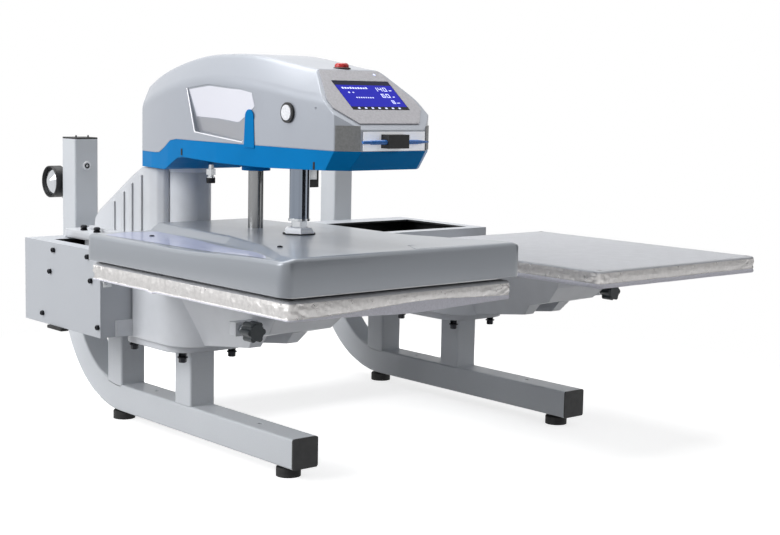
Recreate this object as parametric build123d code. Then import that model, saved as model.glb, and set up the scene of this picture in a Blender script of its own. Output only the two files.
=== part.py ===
from build123d import *
import math
import os

os.makedirs("parts", exist_ok=True)

# Frame of the model, in millimetres.
# X runs along the shuttle beam, Y runs from the operator to the back, Z is up.
# The origin is on the floor, under the middle of the whole machine's box.

# Driving sizes of the two stations and the platens.
STATION_SPACING = 638.0
PAD_WIDTH = 430.0
PAD_LENGTH = 538.0
PAD_Y = -254.0
COVER_WIDTH = 460.0
COVER_LENGTH = 540.0
COVER_Y = -261.0
MACHINE_X = 7.5
LEFT_X = MACHINE_X - STATION_SPACING / 2
RIGHT_X = MACHINE_X + STATION_SPACING / 2
STATIONS = (LEFT_X, RIGHT_X)

# Square tube of the legs and posts.
TUBE = 50.8
WALL = 3.0
TUBE_CORNER = 4.0
CAP_THICKNESS = 3.0
PLUG_DEPTH = 16.0
FOOT_HEIGHT = 20.0
FOOT_RADIUS = 20.5
RUNNER_AXIS_Z = FOOT_HEIGHT + TUBE / 2
RUNNER_TOP = FOOT_HEIGHT + TUBE
RUNNER_FRONT = -286.0
UPRIGHT_Y = 441.0
UPRIGHT_TOP = 523.0
BEND_RADIUS = 190.0
FRONT_FOOT_Y = -241.0
REAR_FOOT_Y = 276.0
FRONT_POST_Y = 36.0
REAR_POST_Y = 269.0

# Shuttle beam.
BEAM_HALF_LENGTH = 464.0
BEAM_FRONT = 110.0
BEAM_BACK = 387.0
BEAM_BOTTOM = 189.0
BEAM_TOP = 340.0
BEAM_WALL = 4.0
END_PLATE = 3.0
SLOT_HALF_LENGTH = 434.5
SLOT_FRONT = 139.0
SLOT_BACK = 330.0
BED_TOP = 278.0
BED_THICKNESS = 8.0
RAIL_OFFSET = 70.0
RAIL_WIDTH = 16.0
RAIL_HEIGHT = 14.0
SLOT_Y = (SLOT_FRONT + SLOT_BACK) / 2

# Lower platens.
PLATE_BOTTOM = 309.0
PLATE_THICKNESS = 10.0
FOAM_THICKNESS = 15.0
PAD_BOTTOM = 306.0
PAD_TOP = 336.6
PAD_CORNER = 9.0
COVER_FABRIC = 2.6
FLANGE_THICKNESS = 14.0
FLANGE_BOTTOM = BEAM_BOTTOM - FLANGE_THICKNESS - 0.5

# Heat platen and its cover.
COVER_BOTTOM = 343.0
SHOULDER_Z = 385.0
PLATEAU_Z = 396.5
COVER_SHEET = 3.0
COVER_CORNER = 16.0
HEAT_BOTTOM = 338.2
HEAT_THICKNESS = 26.0

# Rods between the head and the heat platen.
CYLINDER_Y = COVER_Y
GUIDE_Y = -143.0
STOP_Y = -11.0
ROD_RADIUS = 16.0
GUIDE_RADIUS = 12.5
SLIDE_GAP = 0.05

# Column, casting and deck that carry the head.
COLUMN_Y = 54.0
COLUMN_RADIUS = 37.0
DECK_BOTTOM = 342.0
DECK_TOP = 356.0
DECK_HALF_WIDTH = 84.0
COLUMN_TOP = 478.0
CASTING_TOP = 484.0

# Head shell.
HEAD_HALF_WIDTH = 91.0
HEAD_TOP_HALF_WIDTH = 61.0
HEAD_FRONT = -486.0
HEAD_SIDE_FRONT = -459.0
HEAD_REAR = 110.0
HEAD_SHEET = 3.0
PANEL_TOP_Y = -376.0
PANEL_TOP_Z = 654.5
PANEL_BOTTOM_Y = -480.0
PANEL_BOTTOM_Z = 572.7
SKIRT_TOP_FRONT = 537.0
SKIRT_TOP_REAR = 512.5
SKIRT_BOTTOM_REAR = 485.5
TAB_Y = -252.0
TAB_TOP = 592.0
TAB_HALF = 11.0
TAB_FOOT_HALF = 14.0
TAB_THICKNESS = 1.2

# Sizes of the smaller features, in the order of the functions that use them.
BOLT_HOLE_Z = 468.8
BOLT_HOLE_RADIUS = 5.5
RUNNER_HOLES_Y = (-161.0, 160.0)
RUNNER_HOLE_RADIUS = 4.0
END_SCREWS = ((275.0, 327.0), (152.0, 327.0), (289.0, 287.0), (141.0, 286.0), (318.0, 207.0), (117.0, 207.0))
SCREW_HEAD_RADIUS = 4.5
SCREW_HEAD_HEIGHT = 2.8
PEDESTAL_FOOT_HALF = 40.0
PEDESTAL_TOP_HALF = 88.0
PEDESTAL_REAR = BEAM_FRONT - 4
PEDESTAL_BOTTOM = BEAM_BOTTOM - 2
PEDESTAL_STEP_Y = PAD_Y + PAD_LENGTH / 2 - 32
PEDESTAL_STEP_Z = PAD_BOTTOM - 1.5
# Lower edge of the wedge as (y, z), from the heel to its tip.
KEEL_PROFILE = [(-30.0, PEDESTAL_BOTTOM), (-197.0, 208.0), (-214.0, 228.0), (-268.0, 241.0), (-300.0, 272.0),
                (-318.0, PLATE_BOTTOM)]
KEEL_GAP_HALF = 26.0
KEEL_GAP_BACK = -90.0
KEEL_GAP_TOP = 238.0
KEEL_GAP_DROP = 9.0
POCKET_HALF = 46.0
POCKET_BACK = -30.0
POCKET_DEPTH = 40.0
HEEL_DEPTH = 170.0
HEEL_CORNER = 72.0
SHOE_HALF = 116.0
SHOE_TOP = 218.0
FLANGE_Y = 66.0
FLANGE_WIDTH = 156.0
FLANGE_DEPTH = 200.0
FLANGE_CORNER = 48.0
LUG_ROOT = 50.0
LUG_HALF = 11.0
LUG_FRONT = -248.0
LUG_THICKNESS = 18.0
HEEL_HALF = 84.0
KNOB_OFFSET = 100.0
KNOB_Y = -290.0
KNOB_Z = 251.0
KNOB_RADIUS = 17.0
KNOB_LENGTH = 24.0
KNOB_SHAFT_RADIUS = 5.0
KNOB_LOBES = 6
LOBE_RADIUS = 5.0
HUB_LENGTH = 8.0
HUB_RADIUS = 8.5
PEDESTAL_BOLT_X = 51.0
PEDESTAL_BOLT_Y = (154.0, -4.0)
PEDESTAL_BOLT_RADIUS = 6.8
PEDESTAL_BOLT_HEIGHT = 10.0
GAUGE_RADIUS = 31.0
GAUGE_Y = COVER_LENGTH / 2 - COVER_Y - GAUGE_RADIUS
GAUGE_Z = 434.0
GAUGE_X = LEFT_X - 24
REGULATOR_TOP = 462.0
REGULATOR_BOTTOM = 400.0
REGULATOR_X = LEFT_X + 16
REGULATOR_Y = UPRIGHT_Y + TUBE / 2 + 25
BRACKET_BOTTOM = 452.0
BRACKET_TOP = 486.0
GAUGE_STEM_RADIUS = 7.0
BOWL_RADIUS = 15.0
BOWL_HEIGHT = 42.0
SPIGOT_RADIUS = 6.0
SPIGOT_HEIGHT = 12.0
REGULATOR_KNOB_RADIUS = 17.0
REGULATOR_KNOB_HEIGHT = 30.0
BEARING_X = 56.0
BEARING_HALF = 24.0
BEARING_GAP = 3.0
BEARING_HEIGHT = 24.0
BLOCK_TOP = BED_TOP + BEARING_GAP + BEARING_HEIGHT
CARRIAGE_PLATE_THICKNESS = 14.0
RIB_Y = (119.0, 151.0, 185.0, 225.0)
RIB_DROP = 12.0
RIB_RELIEF = 3.0
RIB_HALF = 4.5
WEB_FRONT = 60.0
GROOVE = 1.2
DECK_Y = 190.0
DECK_DEPTH = 346.0
DECK_CORNER = 22.0
CASTING_FOOT_HALF = 60.0
CASTING_FOOT_INSET = 14.0
TOE_SLOPE_BACK = 26.0
TOE_SLOPE_RISE = 16.0
TOE_ROUND = 8.0
SKIRTING_WIDTH = 8.0
SKIRTING_HEIGHT = 7.0
WEB_TOP_BACK = 114.0
WEB_TOE = 318.0
WEB_WAIST_Y = 150.0
WEB_FRONT_HALF = 58.0
WEB_BACK_HALF = 40.0
TOE_Z = 378.0
DECK_BOLT_X = 65.0
DECK_BOLT_Y = (262.0, 310.0)
DECK_BOLT_RADIUS = 6.5
DECK_BOLT_HEIGHT = 5.0
COLUMN_FLARE = 7.0
DECK_FRONT = 17.0
HEAD_SECTIONS = (
    # y, half width, shoulder height, top half width, top height
    (-560.0, 91.0, 598.0, 61.0, 640.0),
    (-376.0, 91.0, 617.0, 61.0, 655.0),
    (-230.0, 91.0, 635.0, 61.0, 675.5),
    (-160.0, 90.0, 638.0, 60.0, 678.0),
    (-80.0, 86.0, 634.0, 58.0, 675.0),
    (0.0, 79.0, 622.0, 54.0, 662.0),
    (66.0, 70.0, 606.0, 49.0, 645.0),
    (112.0, 61.0, 590.0, 44.0, 627.0),
)
HEAD_LOW = 470.0
SKIRT_FLOOR = 5.0
# Lower edge of the skirt as (y, z), from the front to the column.
SKIRT_UNDERSIDE = [(-600, 509), (-438, 508.5), (-290, 504.5), (-158, 505.5), (-52, 509.5), (-34, 507),
                   (-12, 497), (4, 489), (14, SKIRT_BOTTOM_REAR)]
PANEL_LENGTH = math.hypot(PANEL_TOP_Y - PANEL_BOTTOM_Y, PANEL_TOP_Z - PANEL_BOTTOM_Z)
PANEL_PLANE = Plane(
    origin=(LEFT_X, PANEL_TOP_Y, PANEL_TOP_Z), x_dir=(1, 0, 0),
    z_dir=(0, -(PANEL_TOP_Z - PANEL_BOTTOM_Z) / PANEL_LENGTH, (PANEL_TOP_Y - PANEL_BOTTOM_Y) / PANEL_LENGTH))
SCREEN_X0 = -50.0
SCREEN_X1 = 60.5
SCREEN_S0 = 28.0
SCREEN_S1 = 96.0
BEZEL_THICKNESS = 1.6
FRONT_PLATE_THICKNESS = 1.5
STYLUS_Z = 551.0
STYLUS_Y = HEAD_FRONT - 13
STYLUS_RADIUS = 3.2
CLIP_X = (-26.0, 13.0)
BUTTON_Y = -350.5
BUTTON_Z = 589.5
BUTTON_RADIUS = 11.5
BUTTON_BORE = 13.6
STOP_BUTTON_Y = -362.0
STOP_BUTTON_RADIUS = 11.0
SPINE_Y = -120.0
SPINE_BOTTOM = 516.0
SPINE_WIDTH = 100.0
SPINE_LENGTH = 380.0
SPINE_THICKNESS = 10.0
SPINE_RISER_HALF = 45.0
CYLINDER_BOTTOM = 526.0
CYLINDER_HEIGHT = 112.0
CYLINDER_BORE = 40.0
SWITCH_WINDOW = (LEFT_X + 14, LEFT_X + 32, HEAD_REAR - 6, HEAD_REAR + 3, 556, 582)
HEAT_WIDTH = 410.0
HEAT_LENGTH = 510.0
HEAT_CORNER = 12.0
HEAT_BOSS_RADIUS = 34.0
ROD_FLANGE_SINK = 6.0
BUSH_BOTTOM = 498.0
BUSH_HEIGHT = 52.0
COLLAR_RADIUS = 23.5
STOP_BOTTOM = 462.0
STOP_TIP_RADIUS = 7.0
STOP_SHANK_RADIUS = 5.0
STOP_NUT_RADIUS = 9.0
SENSOR_X = LEFT_X + 50
SENSOR_Y = -220.0
SENSOR_BOTTOM = 466.0
SENSOR_BRACKET_TOP = 504.8
BOARD_DEPTH = 14.0
VALVE_Y = -49.0
VALVE_BOTTOM = SPINE_BOTTOM + SPINE_THICKNESS
INLET_LEFT = LEFT_X - 30
INLET_RIGHT = LEFT_X - 2
INLET_BOTTOM = 546.0
INLET_TOP = 570.0
INLET_WALL = 3.0
PIN_OFFSETS = (-22.0, -16.0, -10.0)
FITTING_X = LEFT_X + 25
FITTING_Z = 540.0
FITTING_RADIUS = 6.0
FITTING_BORE = 3.5
PANEL_HALF_WIDTH = 37.6
PANEL_LOW = 528.4
PANEL_HIGH = 589.6
ROD_FOOT = 419.0
PISTON_BOTTOM = 537.0
PISTON_HEIGHT = 16.0
STUD_BOTTOM = 398.0
STUD_RADIUS = 9.0
ROD_FLANGE_RADIUS = 26.0
PLATEAU_SLOPE = 14.0


def block(x0, x1, y0, y1, z0, z1):
    """Box between two corners."""
    middle = Pos((x0 + x1) / 2, (y0 + y1) / 2, (z0 + z1) / 2)
    return middle * Box(x1 - x0, y1 - y0, z1 - z0)


def plate(x, y, z, width, depth, thickness, radius):
    """Flat plate with rounded corners, its underside at z."""
    return extrude(Pos(x, y, z) * RectangleRounded(width, depth, radius), thickness)


def post(x, y, z, radius, height):
    """Upright round bar standing at z."""
    return Pos(x, y, z + height / 2) * Cylinder(radius, height)


def bar_x(x0, x1, y, z, radius):
    """Round bar along X."""
    return Pos((x0 + x1) / 2, y, z) * Rot(0, 90, 0) * Cylinder(radius, abs(x1 - x0))


def bar_y(x, y0, y1, z, radius):
    """Round bar along Y."""
    return Pos(x, (y0 + y1) / 2, z) * Rot(90, 0, 0) * Cylinder(radius, abs(y1 - y0))


def side_profile(points, x0, x1):
    """Solid from a (y, z) outline, spanning x0 to x1."""
    outline = Polyline(*[(0, y, z) for y, z in points], close=True)
    face = make_face(outline)
    return Pos(x0, 0, 0) * extrude(face, x1 - x0, dir=(1, 0, 0))


def fuse(*solids):
    """One solid from several that touch."""
    whole = solids[0]
    for solid in solids[1:]:
        whole = whole + solid
    return whole


def group(solids):
    """Separate solids kept together in one node."""
    return Compound(children=list(solids))


# Leg frames: a runner on the floor, a wide bend and an upright behind the beam.
def leg_tube(x, outer, corner):
    start = (x, RUNNER_FRONT + CAP_THICKNESS, RUNNER_AXIS_Z)
    bend_start_y = UPRIGHT_Y - BEND_RADIUS
    bend_centre_z = RUNNER_AXIS_Z + BEND_RADIUS
    diagonal = BEND_RADIUS * math.sqrt(0.5)
    bend_middle = (x, bend_start_y + diagonal, bend_centre_z - diagonal)
    bend_end = (x, UPRIGHT_Y, bend_centre_z)
    runner = Line(start, (x, bend_start_y, RUNNER_AXIS_Z))
    bend = ThreePointArc((x, bend_start_y, RUNNER_AXIS_Z), bend_middle, bend_end)
    upright = Line(bend_end, (x, UPRIGHT_Y, UPRIGHT_TOP - CAP_THICKNESS))
    section = Plane(origin=start, x_dir=(1, 0, 0), z_dir=(0, 1, 0)) * RectangleRounded(outer, outer, corner)
    return sweep(section, path=runner + bend + upright)


def leg(x):
    hollow = leg_tube(x, TUBE, TUBE_CORNER) - leg_tube(x, TUBE - 2 * WALL, TUBE_CORNER - WALL)
    upright_bore = bar_y(x, UPRIGHT_Y - TUBE, UPRIGHT_Y + TUBE, BOLT_HOLE_Z, BOLT_HOLE_RADIUS)
    hollow -= upright_bore
    for y in RUNNER_HOLES_Y:
        hollow -= post(x, y, RUNNER_TOP - 2 * WALL, RUNNER_HOLE_RADIUS, 4 * WALL)
    return hollow


def square_post(x, y, z0, z1):
    outer = extrude(Pos(x, y, z0) * RectangleRounded(TUBE, TUBE, TUBE_CORNER), z1 - z0)
    bore = extrude(Pos(x, y, z0) * RectangleRounded(TUBE - 2 * WALL, TUBE - 2 * WALL, 1), z1 - z0)
    return outer - bore


def front_posts():
    return group([square_post(x, FRONT_POST_Y, RUNNER_TOP, FLANGE_BOTTOM) for x in STATIONS])


def rear_posts():
    posts = []
    for x in STATIONS:
        whole = square_post(x, REAR_POST_Y, RUNNER_TOP - 8, BEAM_BOTTOM)
        posts.append((whole - leg_tube(x, TUBE, TUBE_CORNER)).solids().sort_by(Axis.Z)[-1])
    return group(posts)


def leg_end_caps():
    caps = []
    inner = TUBE - 2 * WALL - 0.4
    for x in STATIONS:
        face = Plane(origin=(x, RUNNER_FRONT, RUNNER_AXIS_Z), x_dir=(1, 0, 0), z_dir=(0, 1, 0))
        flat = extrude(face * RectangleRounded(TUBE, TUBE, TUBE_CORNER), CAP_THICKNESS)
        plug = extrude(face * RectangleRounded(inner, inner, 1), PLUG_DEPTH)
        caps.append(flat + plug)
    return group(caps)


def upright_caps():
    caps = []
    inner = TUBE - 2 * WALL - 0.4
    for x in STATIONS:
        flat = plate(x, UPRIGHT_Y, UPRIGHT_TOP - CAP_THICKNESS, TUBE, TUBE, CAP_THICKNESS, TUBE_CORNER)
        plug = plate(x, UPRIGHT_Y, UPRIGHT_TOP - PLUG_DEPTH, inner, inner, PLUG_DEPTH, 1)
        caps.append(flat + plug)
    return group(caps)


def rubber_feet():
    feet = []
    disc_height = 16.0
    neck_radius = 13.0
    for x in STATIONS:
        for y in (FRONT_FOOT_Y, REAR_FOOT_Y):
            disc = post(x, y, 0, FOOT_RADIUS, disc_height)
            disc = fillet(disc.edges().group_by(Axis.Z)[-1], 3)
            neck = post(x, y, disc_height - 1, neck_radius, 14) - leg_tube(x, TUBE, TUBE_CORNER)
            neck = neck.solids().sort_by(Axis.Z)[0]
            feet.append(disc + neck)
    return group(feet)


# Shuttle beam: a box with a long slot in its top, closed by a plate at each end.
def beam_tray():
    x0 = MACHINE_X - BEAM_HALF_LENGTH + END_PLATE
    x1 = MACHINE_X + BEAM_HALF_LENGTH - END_PLATE
    outer = block(x0, x1, BEAM_FRONT, BEAM_BACK, BEAM_BOTTOM, BEAM_TOP)
    inner = block(x0 - 1, x1 + 1, BEAM_FRONT + BEAM_WALL, BEAM_BACK - BEAM_WALL,
                  BEAM_BOTTOM + BEAM_WALL, BEAM_TOP - BEAM_WALL)
    slot = block(MACHINE_X - SLOT_HALF_LENGTH, MACHINE_X + SLOT_HALF_LENGTH,
                 SLOT_FRONT, SLOT_BACK, BEAM_TOP - 2 * BEAM_WALL, BEAM_TOP + 1)
    return outer - inner - slot


def beam_end_plates():
    plates = []
    for side in (-1, 1):
        outside = MACHINE_X + side * BEAM_HALF_LENGTH
        inside = outside - side * END_PLATE
        plates.append(block(min(inside, outside), max(inside, outside),
                            BEAM_FRONT, BEAM_BACK, BEAM_BOTTOM, BEAM_TOP))
    return group(plates)


def beam_screws():
    screws = []
    for side in (-1, 1):
        face = MACHINE_X + side * BEAM_HALF_LENGTH
        for y, z in END_SCREWS:
            screws.append(bar_x(face, face + side * SCREW_HEAD_HEIGHT, y, z, SCREW_HEAD_RADIUS))
    return group(screws)


def rail_bed():
    """Top-hat bed inside the beam that carries the two shuttle rails."""
    half = SLOT_HALF_LENGTH + 14
    x0 = MACHINE_X - half
    x1 = MACHINE_X + half
    low = BED_TOP - BED_THICKNESS
    top = block(x0, x1, BEAM_FRONT + BEAM_WALL + 2, BEAM_BACK - BEAM_WALL - 2, low, BED_TOP)
    web_front = SLOT_Y - RAIL_OFFSET
    web_back = SLOT_Y + RAIL_OFFSET
    webs = [block(x0, x1, y - 5, y + 5, BEAM_BOTTOM + BEAM_WALL, BED_TOP - BED_THICKNESS)
            for y in (web_front, web_back)]
    return fuse(top, *webs)


def shuttle_rails():
    x0 = MACHINE_X - SLOT_HALF_LENGTH
    x1 = MACHINE_X + SLOT_HALF_LENGTH
    return group([block(x0, x1, y - RAIL_WIDTH / 2, y + RAIL_WIDTH / 2, BED_TOP, BED_TOP + RAIL_HEIGHT)
                  for y in (SLOT_Y - RAIL_OFFSET, SLOT_Y + RAIL_OFFSET)])


def travel_bumpers():
    """Rubber buffers that the carriage reaches at each end of its travel."""
    radius = 11.0
    bumpers = []
    for side, station in ((-1, LEFT_X), (1, RIGHT_X)):
        near = station + side * (DECK_HALF_WIDTH + 1)
        far = MACHINE_X + side * (SLOT_HALF_LENGTH + 8)
        buffer = bar_x(near, far - side * 8, SLOT_Y, BED_TOP + 32, radius)
        stand = block(min(far - side * 8, far), max(far - side * 8, far),
                      SLOT_Y - 16, SLOT_Y + 16, BED_TOP, BED_TOP + 46)
        bumpers.append(buffer + stand)
    return group(bumpers)


def upright_brackets():
    """Spacer blocks between the back of the beam and the uprights."""
    z0 = BEAM_BOTTOM + 52
    z1 = BEAM_TOP - 12
    front = BEAM_BACK
    back = UPRIGHT_Y - TUBE / 2
    return group([block(x - 30, x + 30, front, back, z0, z1) for x in STATIONS])


# Pedestal castings that carry the lower platens.


def pedestal_sides(x):
    """Wedge seen from the side, narrower towards its foot, with a hollow between its two keels."""
    tip = Plane.XZ * Polyline(
        (x - PEDESTAL_FOOT_HALF, PEDESTAL_BOTTOM - 1), (x + PEDESTAL_FOOT_HALF, PEDESTAL_BOTTOM - 1),
        (x + PEDESTAL_TOP_HALF, PLATE_BOTTOM), (x - PEDESTAL_TOP_HALF, PLATE_BOTTOM), close=True)
    wedge = extrude(make_face(tip), PAD_LENGTH, both=True)
    outline = [(PEDESTAL_REAR, PEDESTAL_STEP_Z), (PEDESTAL_REAR, PEDESTAL_BOTTOM)]
    outline += KEEL_PROFILE
    outline += [(PEDESTAL_STEP_Y, PLATE_BOTTOM), (PEDESTAL_STEP_Y, PEDESTAL_STEP_Z)]
    body = wedge & side_profile(outline, x - PEDESTAL_TOP_HALF, x + PEDESTAL_TOP_HALF)
    channel = block(x - KEEL_GAP_HALF, x + KEEL_GAP_HALF, PAD_Y - PAD_LENGTH / 2, KEEL_GAP_BACK,
                    BEAM_BOTTOM - KEEL_GAP_DROP, KEEL_GAP_TOP)
    pocket = block(x - POCKET_HALF, x + POCKET_HALF, PAD_Y, POCKET_BACK,
                   PLATE_BOTTOM - POCKET_DEPTH, PLATE_BOTTOM + 1)
    return body - channel - pocket


def pedestal(x):
    """Casting with a rounded heel at the beam, a flange below it and a wedge towards the operator."""
    heel_middle = PEDESTAL_REAR - HEEL_DEPTH / 2
    heel_height = PEDESTAL_STEP_Z - PEDESTAL_BOTTOM
    heel = plate(x, heel_middle, PEDESTAL_BOTTOM, 2 * HEEL_HALF, HEEL_DEPTH, heel_height, HEEL_CORNER)
    heel += block(x - HEEL_HALF, x + HEEL_HALF, heel_middle, PEDESTAL_REAR, PEDESTAL_BOTTOM, PEDESTAL_STEP_Z)
    shoe = block(x - SHOE_HALF, x + SHOE_HALF, PEDESTAL_REAR - 1, BEAM_FRONT, BEAM_BOTTOM, SHOE_TOP)
    flange = plate(x, FLANGE_Y, FLANGE_BOTTOM, FLANGE_WIDTH, FLANGE_DEPTH, FLANGE_THICKNESS, FLANGE_CORNER)
    outer_side = -1 if x < MACHINE_X else 1
    knob_x = x + outer_side * KNOB_OFFSET
    lug_end = knob_x + outer_side * LUG_HALF
    lug_root = x + outer_side * LUG_ROOT
    lug = block(min(lug_root, lug_end), max(lug_root, lug_end), LUG_FRONT, LUG_FRONT + LUG_THICKNESS,
                KNOB_Z - LUG_HALF, KNOB_Z + LUG_HALF)
    body = fuse(pedestal_sides(x), heel, shoe, flange, lug)
    return body - bar_y(knob_x, KNOB_Y, LUG_FRONT + 2 * LUG_THICKNESS, KNOB_Z, KNOB_SHAFT_RADIUS + SLIDE_GAP)


def clamp_knob(x):
    """Lobed knob on a threaded shaft, on the outer side of a pedestal."""
    outer_side = -1 if x < MACHINE_X else 1
    middle = x + outer_side * KNOB_OFFSET
    back = KNOB_Y + KNOB_LENGTH
    core = bar_y(middle, KNOB_Y, back, KNOB_Z, KNOB_RADIUS - 4)
    ring_radius = KNOB_RADIUS - LOBE_RADIUS
    for lobe in range(KNOB_LOBES):
        angle = 2 * math.pi * lobe / KNOB_LOBES
        lobe_x = middle + ring_radius * math.cos(angle)
        lobe_z = KNOB_Z + ring_radius * math.sin(angle)
        core += bar_y(lobe_x, KNOB_Y + 1, back - 1, lobe_z, LOBE_RADIUS)
    hub = bar_y(middle, back, back + HUB_LENGTH, KNOB_Z, HUB_RADIUS)
    shaft = bar_y(middle, back, LUG_FRONT + LUG_THICKNESS + 6, KNOB_Z, KNOB_SHAFT_RADIUS)
    return fuse(core, hub, shaft)


def pedestal_bolts():
    low = FLANGE_BOTTOM - PEDESTAL_BOLT_HEIGHT
    spots = [(x + offset, y) for x in STATIONS for offset in (-PEDESTAL_BOLT_X, PEDESTAL_BOLT_X)
             for y in PEDESTAL_BOLT_Y]
    return group([post(x, y, low, PEDESTAL_BOLT_RADIUS, PEDESTAL_BOLT_HEIGHT) for x, y in spots])


# Lower platens: plate, foam and a fitted fabric cover with a drawn-in hem.
def platen_plate(x):
    return plate(x, PAD_Y, PLATE_BOTTOM, PAD_WIDTH - 8, PAD_LENGTH - 8, PLATE_THICKNESS, PAD_CORNER - 4)


def pad_foam(x):
    top = PLATE_BOTTOM + PLATE_THICKNESS
    return plate(x, PAD_Y, top, PAD_WIDTH - 8, PAD_LENGTH - 8, FOAM_THICKNESS - 0.6, PAD_CORNER - 4)


def pad_cover(x):
    outer = plate(x, PAD_Y, PAD_BOTTOM, PAD_WIDTH, PAD_LENGTH, PAD_TOP - PAD_BOTTOM, PAD_CORNER)
    outer = fillet(outer.edges().group_by(Axis.Z)[-1], 4)
    outer = chamfer(outer.edges().group_by(Axis.Z)[0], 3)
    crown_radius = 16000.0
    crown = Pos(x, PAD_Y, PAD_TOP - crown_radius) * Rot(90, 0, 0) * Cylinder(crown_radius, PAD_LENGTH + 20)
    outer = outer & crown
    inner = plate(x, PAD_Y, PLATE_BOTTOM - 0.3, PAD_WIDTH - 7, PAD_LENGTH - 7,
                  PAD_TOP - COVER_FABRIC - PLATE_BOTTOM + 0.3, PAD_CORNER - 3.5)
    mouth = plate(x, PAD_Y, PAD_BOTTOM - 1, PAD_WIDTH - 44, PAD_LENGTH - 44, 10, 20)
    return outer - inner - mouth


# Air regulator and gauge behind the left upright.


def regulator_body():
    """Regulator block with its bowl, bracket and the bolt through the upright."""
    back = UPRIGHT_Y + TUBE / 2
    body = block(LEFT_X - 4, LEFT_X + 36, back + 4, back + 46, REGULATOR_BOTTOM, REGULATOR_TOP)
    body = fillet(body.edges().filter_by(Axis.Z), 6)
    bracket = block(LEFT_X - 16, LEFT_X + 16, back, back + 4, BRACKET_BOTTOM, BRACKET_TOP)
    arm = block(LEFT_X - 4, LEFT_X + 16, back, back + 8, BRACKET_BOTTOM, REGULATOR_TOP)
    stem = bar_x(GAUGE_X + 12, LEFT_X - 4, GAUGE_Y, GAUGE_Z, GAUGE_STEM_RADIUS)
    nose = block(LEFT_X - 4, LEFT_X + 20, back + 40, GAUGE_Y + 9, GAUGE_Z - 9, GAUGE_Z + 9)
    bowl = post(REGULATOR_X, REGULATOR_Y, REGULATOR_BOTTOM - BOWL_HEIGHT, BOWL_RADIUS, BOWL_HEIGHT)
    bowl = fillet(bowl.edges().group_by(Axis.Z)[0], 8)
    bolt = bar_y(LEFT_X, UPRIGHT_Y - TUBE / 2 - 2, back + 1, BOLT_HOLE_Z, BOLT_HOLE_RADIUS - 0.5)
    spigot = post(REGULATOR_X, REGULATOR_Y, REGULATOR_TOP - 1, SPIGOT_RADIUS, SPIGOT_HEIGHT)
    return fuse(bracket, body, nose, stem, bowl, arm, bolt, spigot)


def pressure_gauge():
    """Round gauge whose face lies in a shallow well."""
    case = bar_x(GAUGE_X - 8, GAUGE_X + 12, GAUGE_Y, GAUGE_Z, GAUGE_RADIUS)
    face_well = bar_x(GAUGE_X - 9, GAUGE_X - 3, GAUGE_Y, GAUGE_Z, GAUGE_RADIUS - 3)
    return case - face_well


def regulator_knob():
    """Domed knob that turns on the regulator's spigot."""
    knob = post(REGULATOR_X, REGULATOR_Y, REGULATOR_TOP + 1, REGULATOR_KNOB_RADIUS, REGULATOR_KNOB_HEIGHT)
    knob = fillet(knob.edges().group_by(Axis.Z)[-1], 9)
    return knob - post(REGULATOR_X, REGULATOR_Y, REGULATOR_TOP, SPIGOT_RADIUS + SLIDE_GAP, SPIGOT_HEIGHT + 2)


# Carriage: bearing blocks, plate, deck casting with its ribbed web, and the column.
def bearing_blocks():
    """Four grooved blocks that straddle the rails."""
    blocks = []
    low = BED_TOP + BEARING_GAP
    groove_half = RAIL_WIDTH / 2 + 0.5
    for offset in (-BEARING_X, BEARING_X):
        for y in (SLOT_Y - RAIL_OFFSET, SLOT_Y + RAIL_OFFSET):
            x = LEFT_X + offset
            body = block(x - BEARING_HALF, x + BEARING_HALF, y - 20, y + 20, low, low + BEARING_HEIGHT)
            groove = block(x - BEARING_HALF - 1, x + BEARING_HALF + 1, y - groove_half, y + groove_half,
                           BED_TOP, BED_TOP + RAIL_HEIGHT + 0.5)
            blocks.append(body - groove)
    return group(blocks)


def carriage_plate():
    return block(LEFT_X - DECK_HALF_WIDTH, LEFT_X + DECK_HALF_WIDTH, SLOT_FRONT + 4, SLOT_BACK - 4,
                 BLOCK_TOP, BLOCK_TOP + CARRIAGE_PLATE_THICKNESS)


def web_plan(spread, height):
    """Slab in the web's plan: wide at the column, with rounded front corners, narrow at the toe."""
    back = WEB_TOE + spread / 2
    right = [(WEB_FRONT_HALF - 19.5, WEB_FRONT + 1), (WEB_FRONT_HALF - 12, WEB_FRONT + 4),
             (WEB_FRONT_HALF - 4, WEB_FRONT + 14), (WEB_FRONT_HALF, WEB_FRONT + 32),
             (WEB_FRONT_HALF, WEB_WAIST_Y), (WEB_BACK_HALF, back)]
    right = [(x + spread, y) for x, y in right]
    left = [(-x, y) for x, y in reversed(right)]
    plan = Polyline(*[(LEFT_X + x, y, DECK_TOP - 1) for x, y in right + left], close=True)
    return extrude(make_face(plan), height)


def web_rib(y, side):
    """Upright rib in low relief on one side of the web, its top under the slope."""
    slope_end = WEB_TOE - TOE_SLOPE_BACK
    fall = max(0.0, (y - WEB_TOP_BACK) / (slope_end - WEB_TOP_BACK))
    top = CASTING_TOP - fall * (CASTING_TOP - TOE_Z - TOE_SLOPE_RISE) - RIB_DROP
    waist = max(0.0, (y - WEB_WAIST_Y) / (WEB_TOE - WEB_WAIST_Y))
    wall = WEB_FRONT_HALF - waist * (WEB_FRONT_HALF - WEB_BACK_HALF)
    inner = LEFT_X + side * (wall - 4)
    outer = LEFT_X + side * (wall + RIB_RELIEF)
    return block(min(inner, outer), max(inner, outer), y - RIB_HALF, y + RIB_HALF, DECK_TOP - 1, top)


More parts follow.
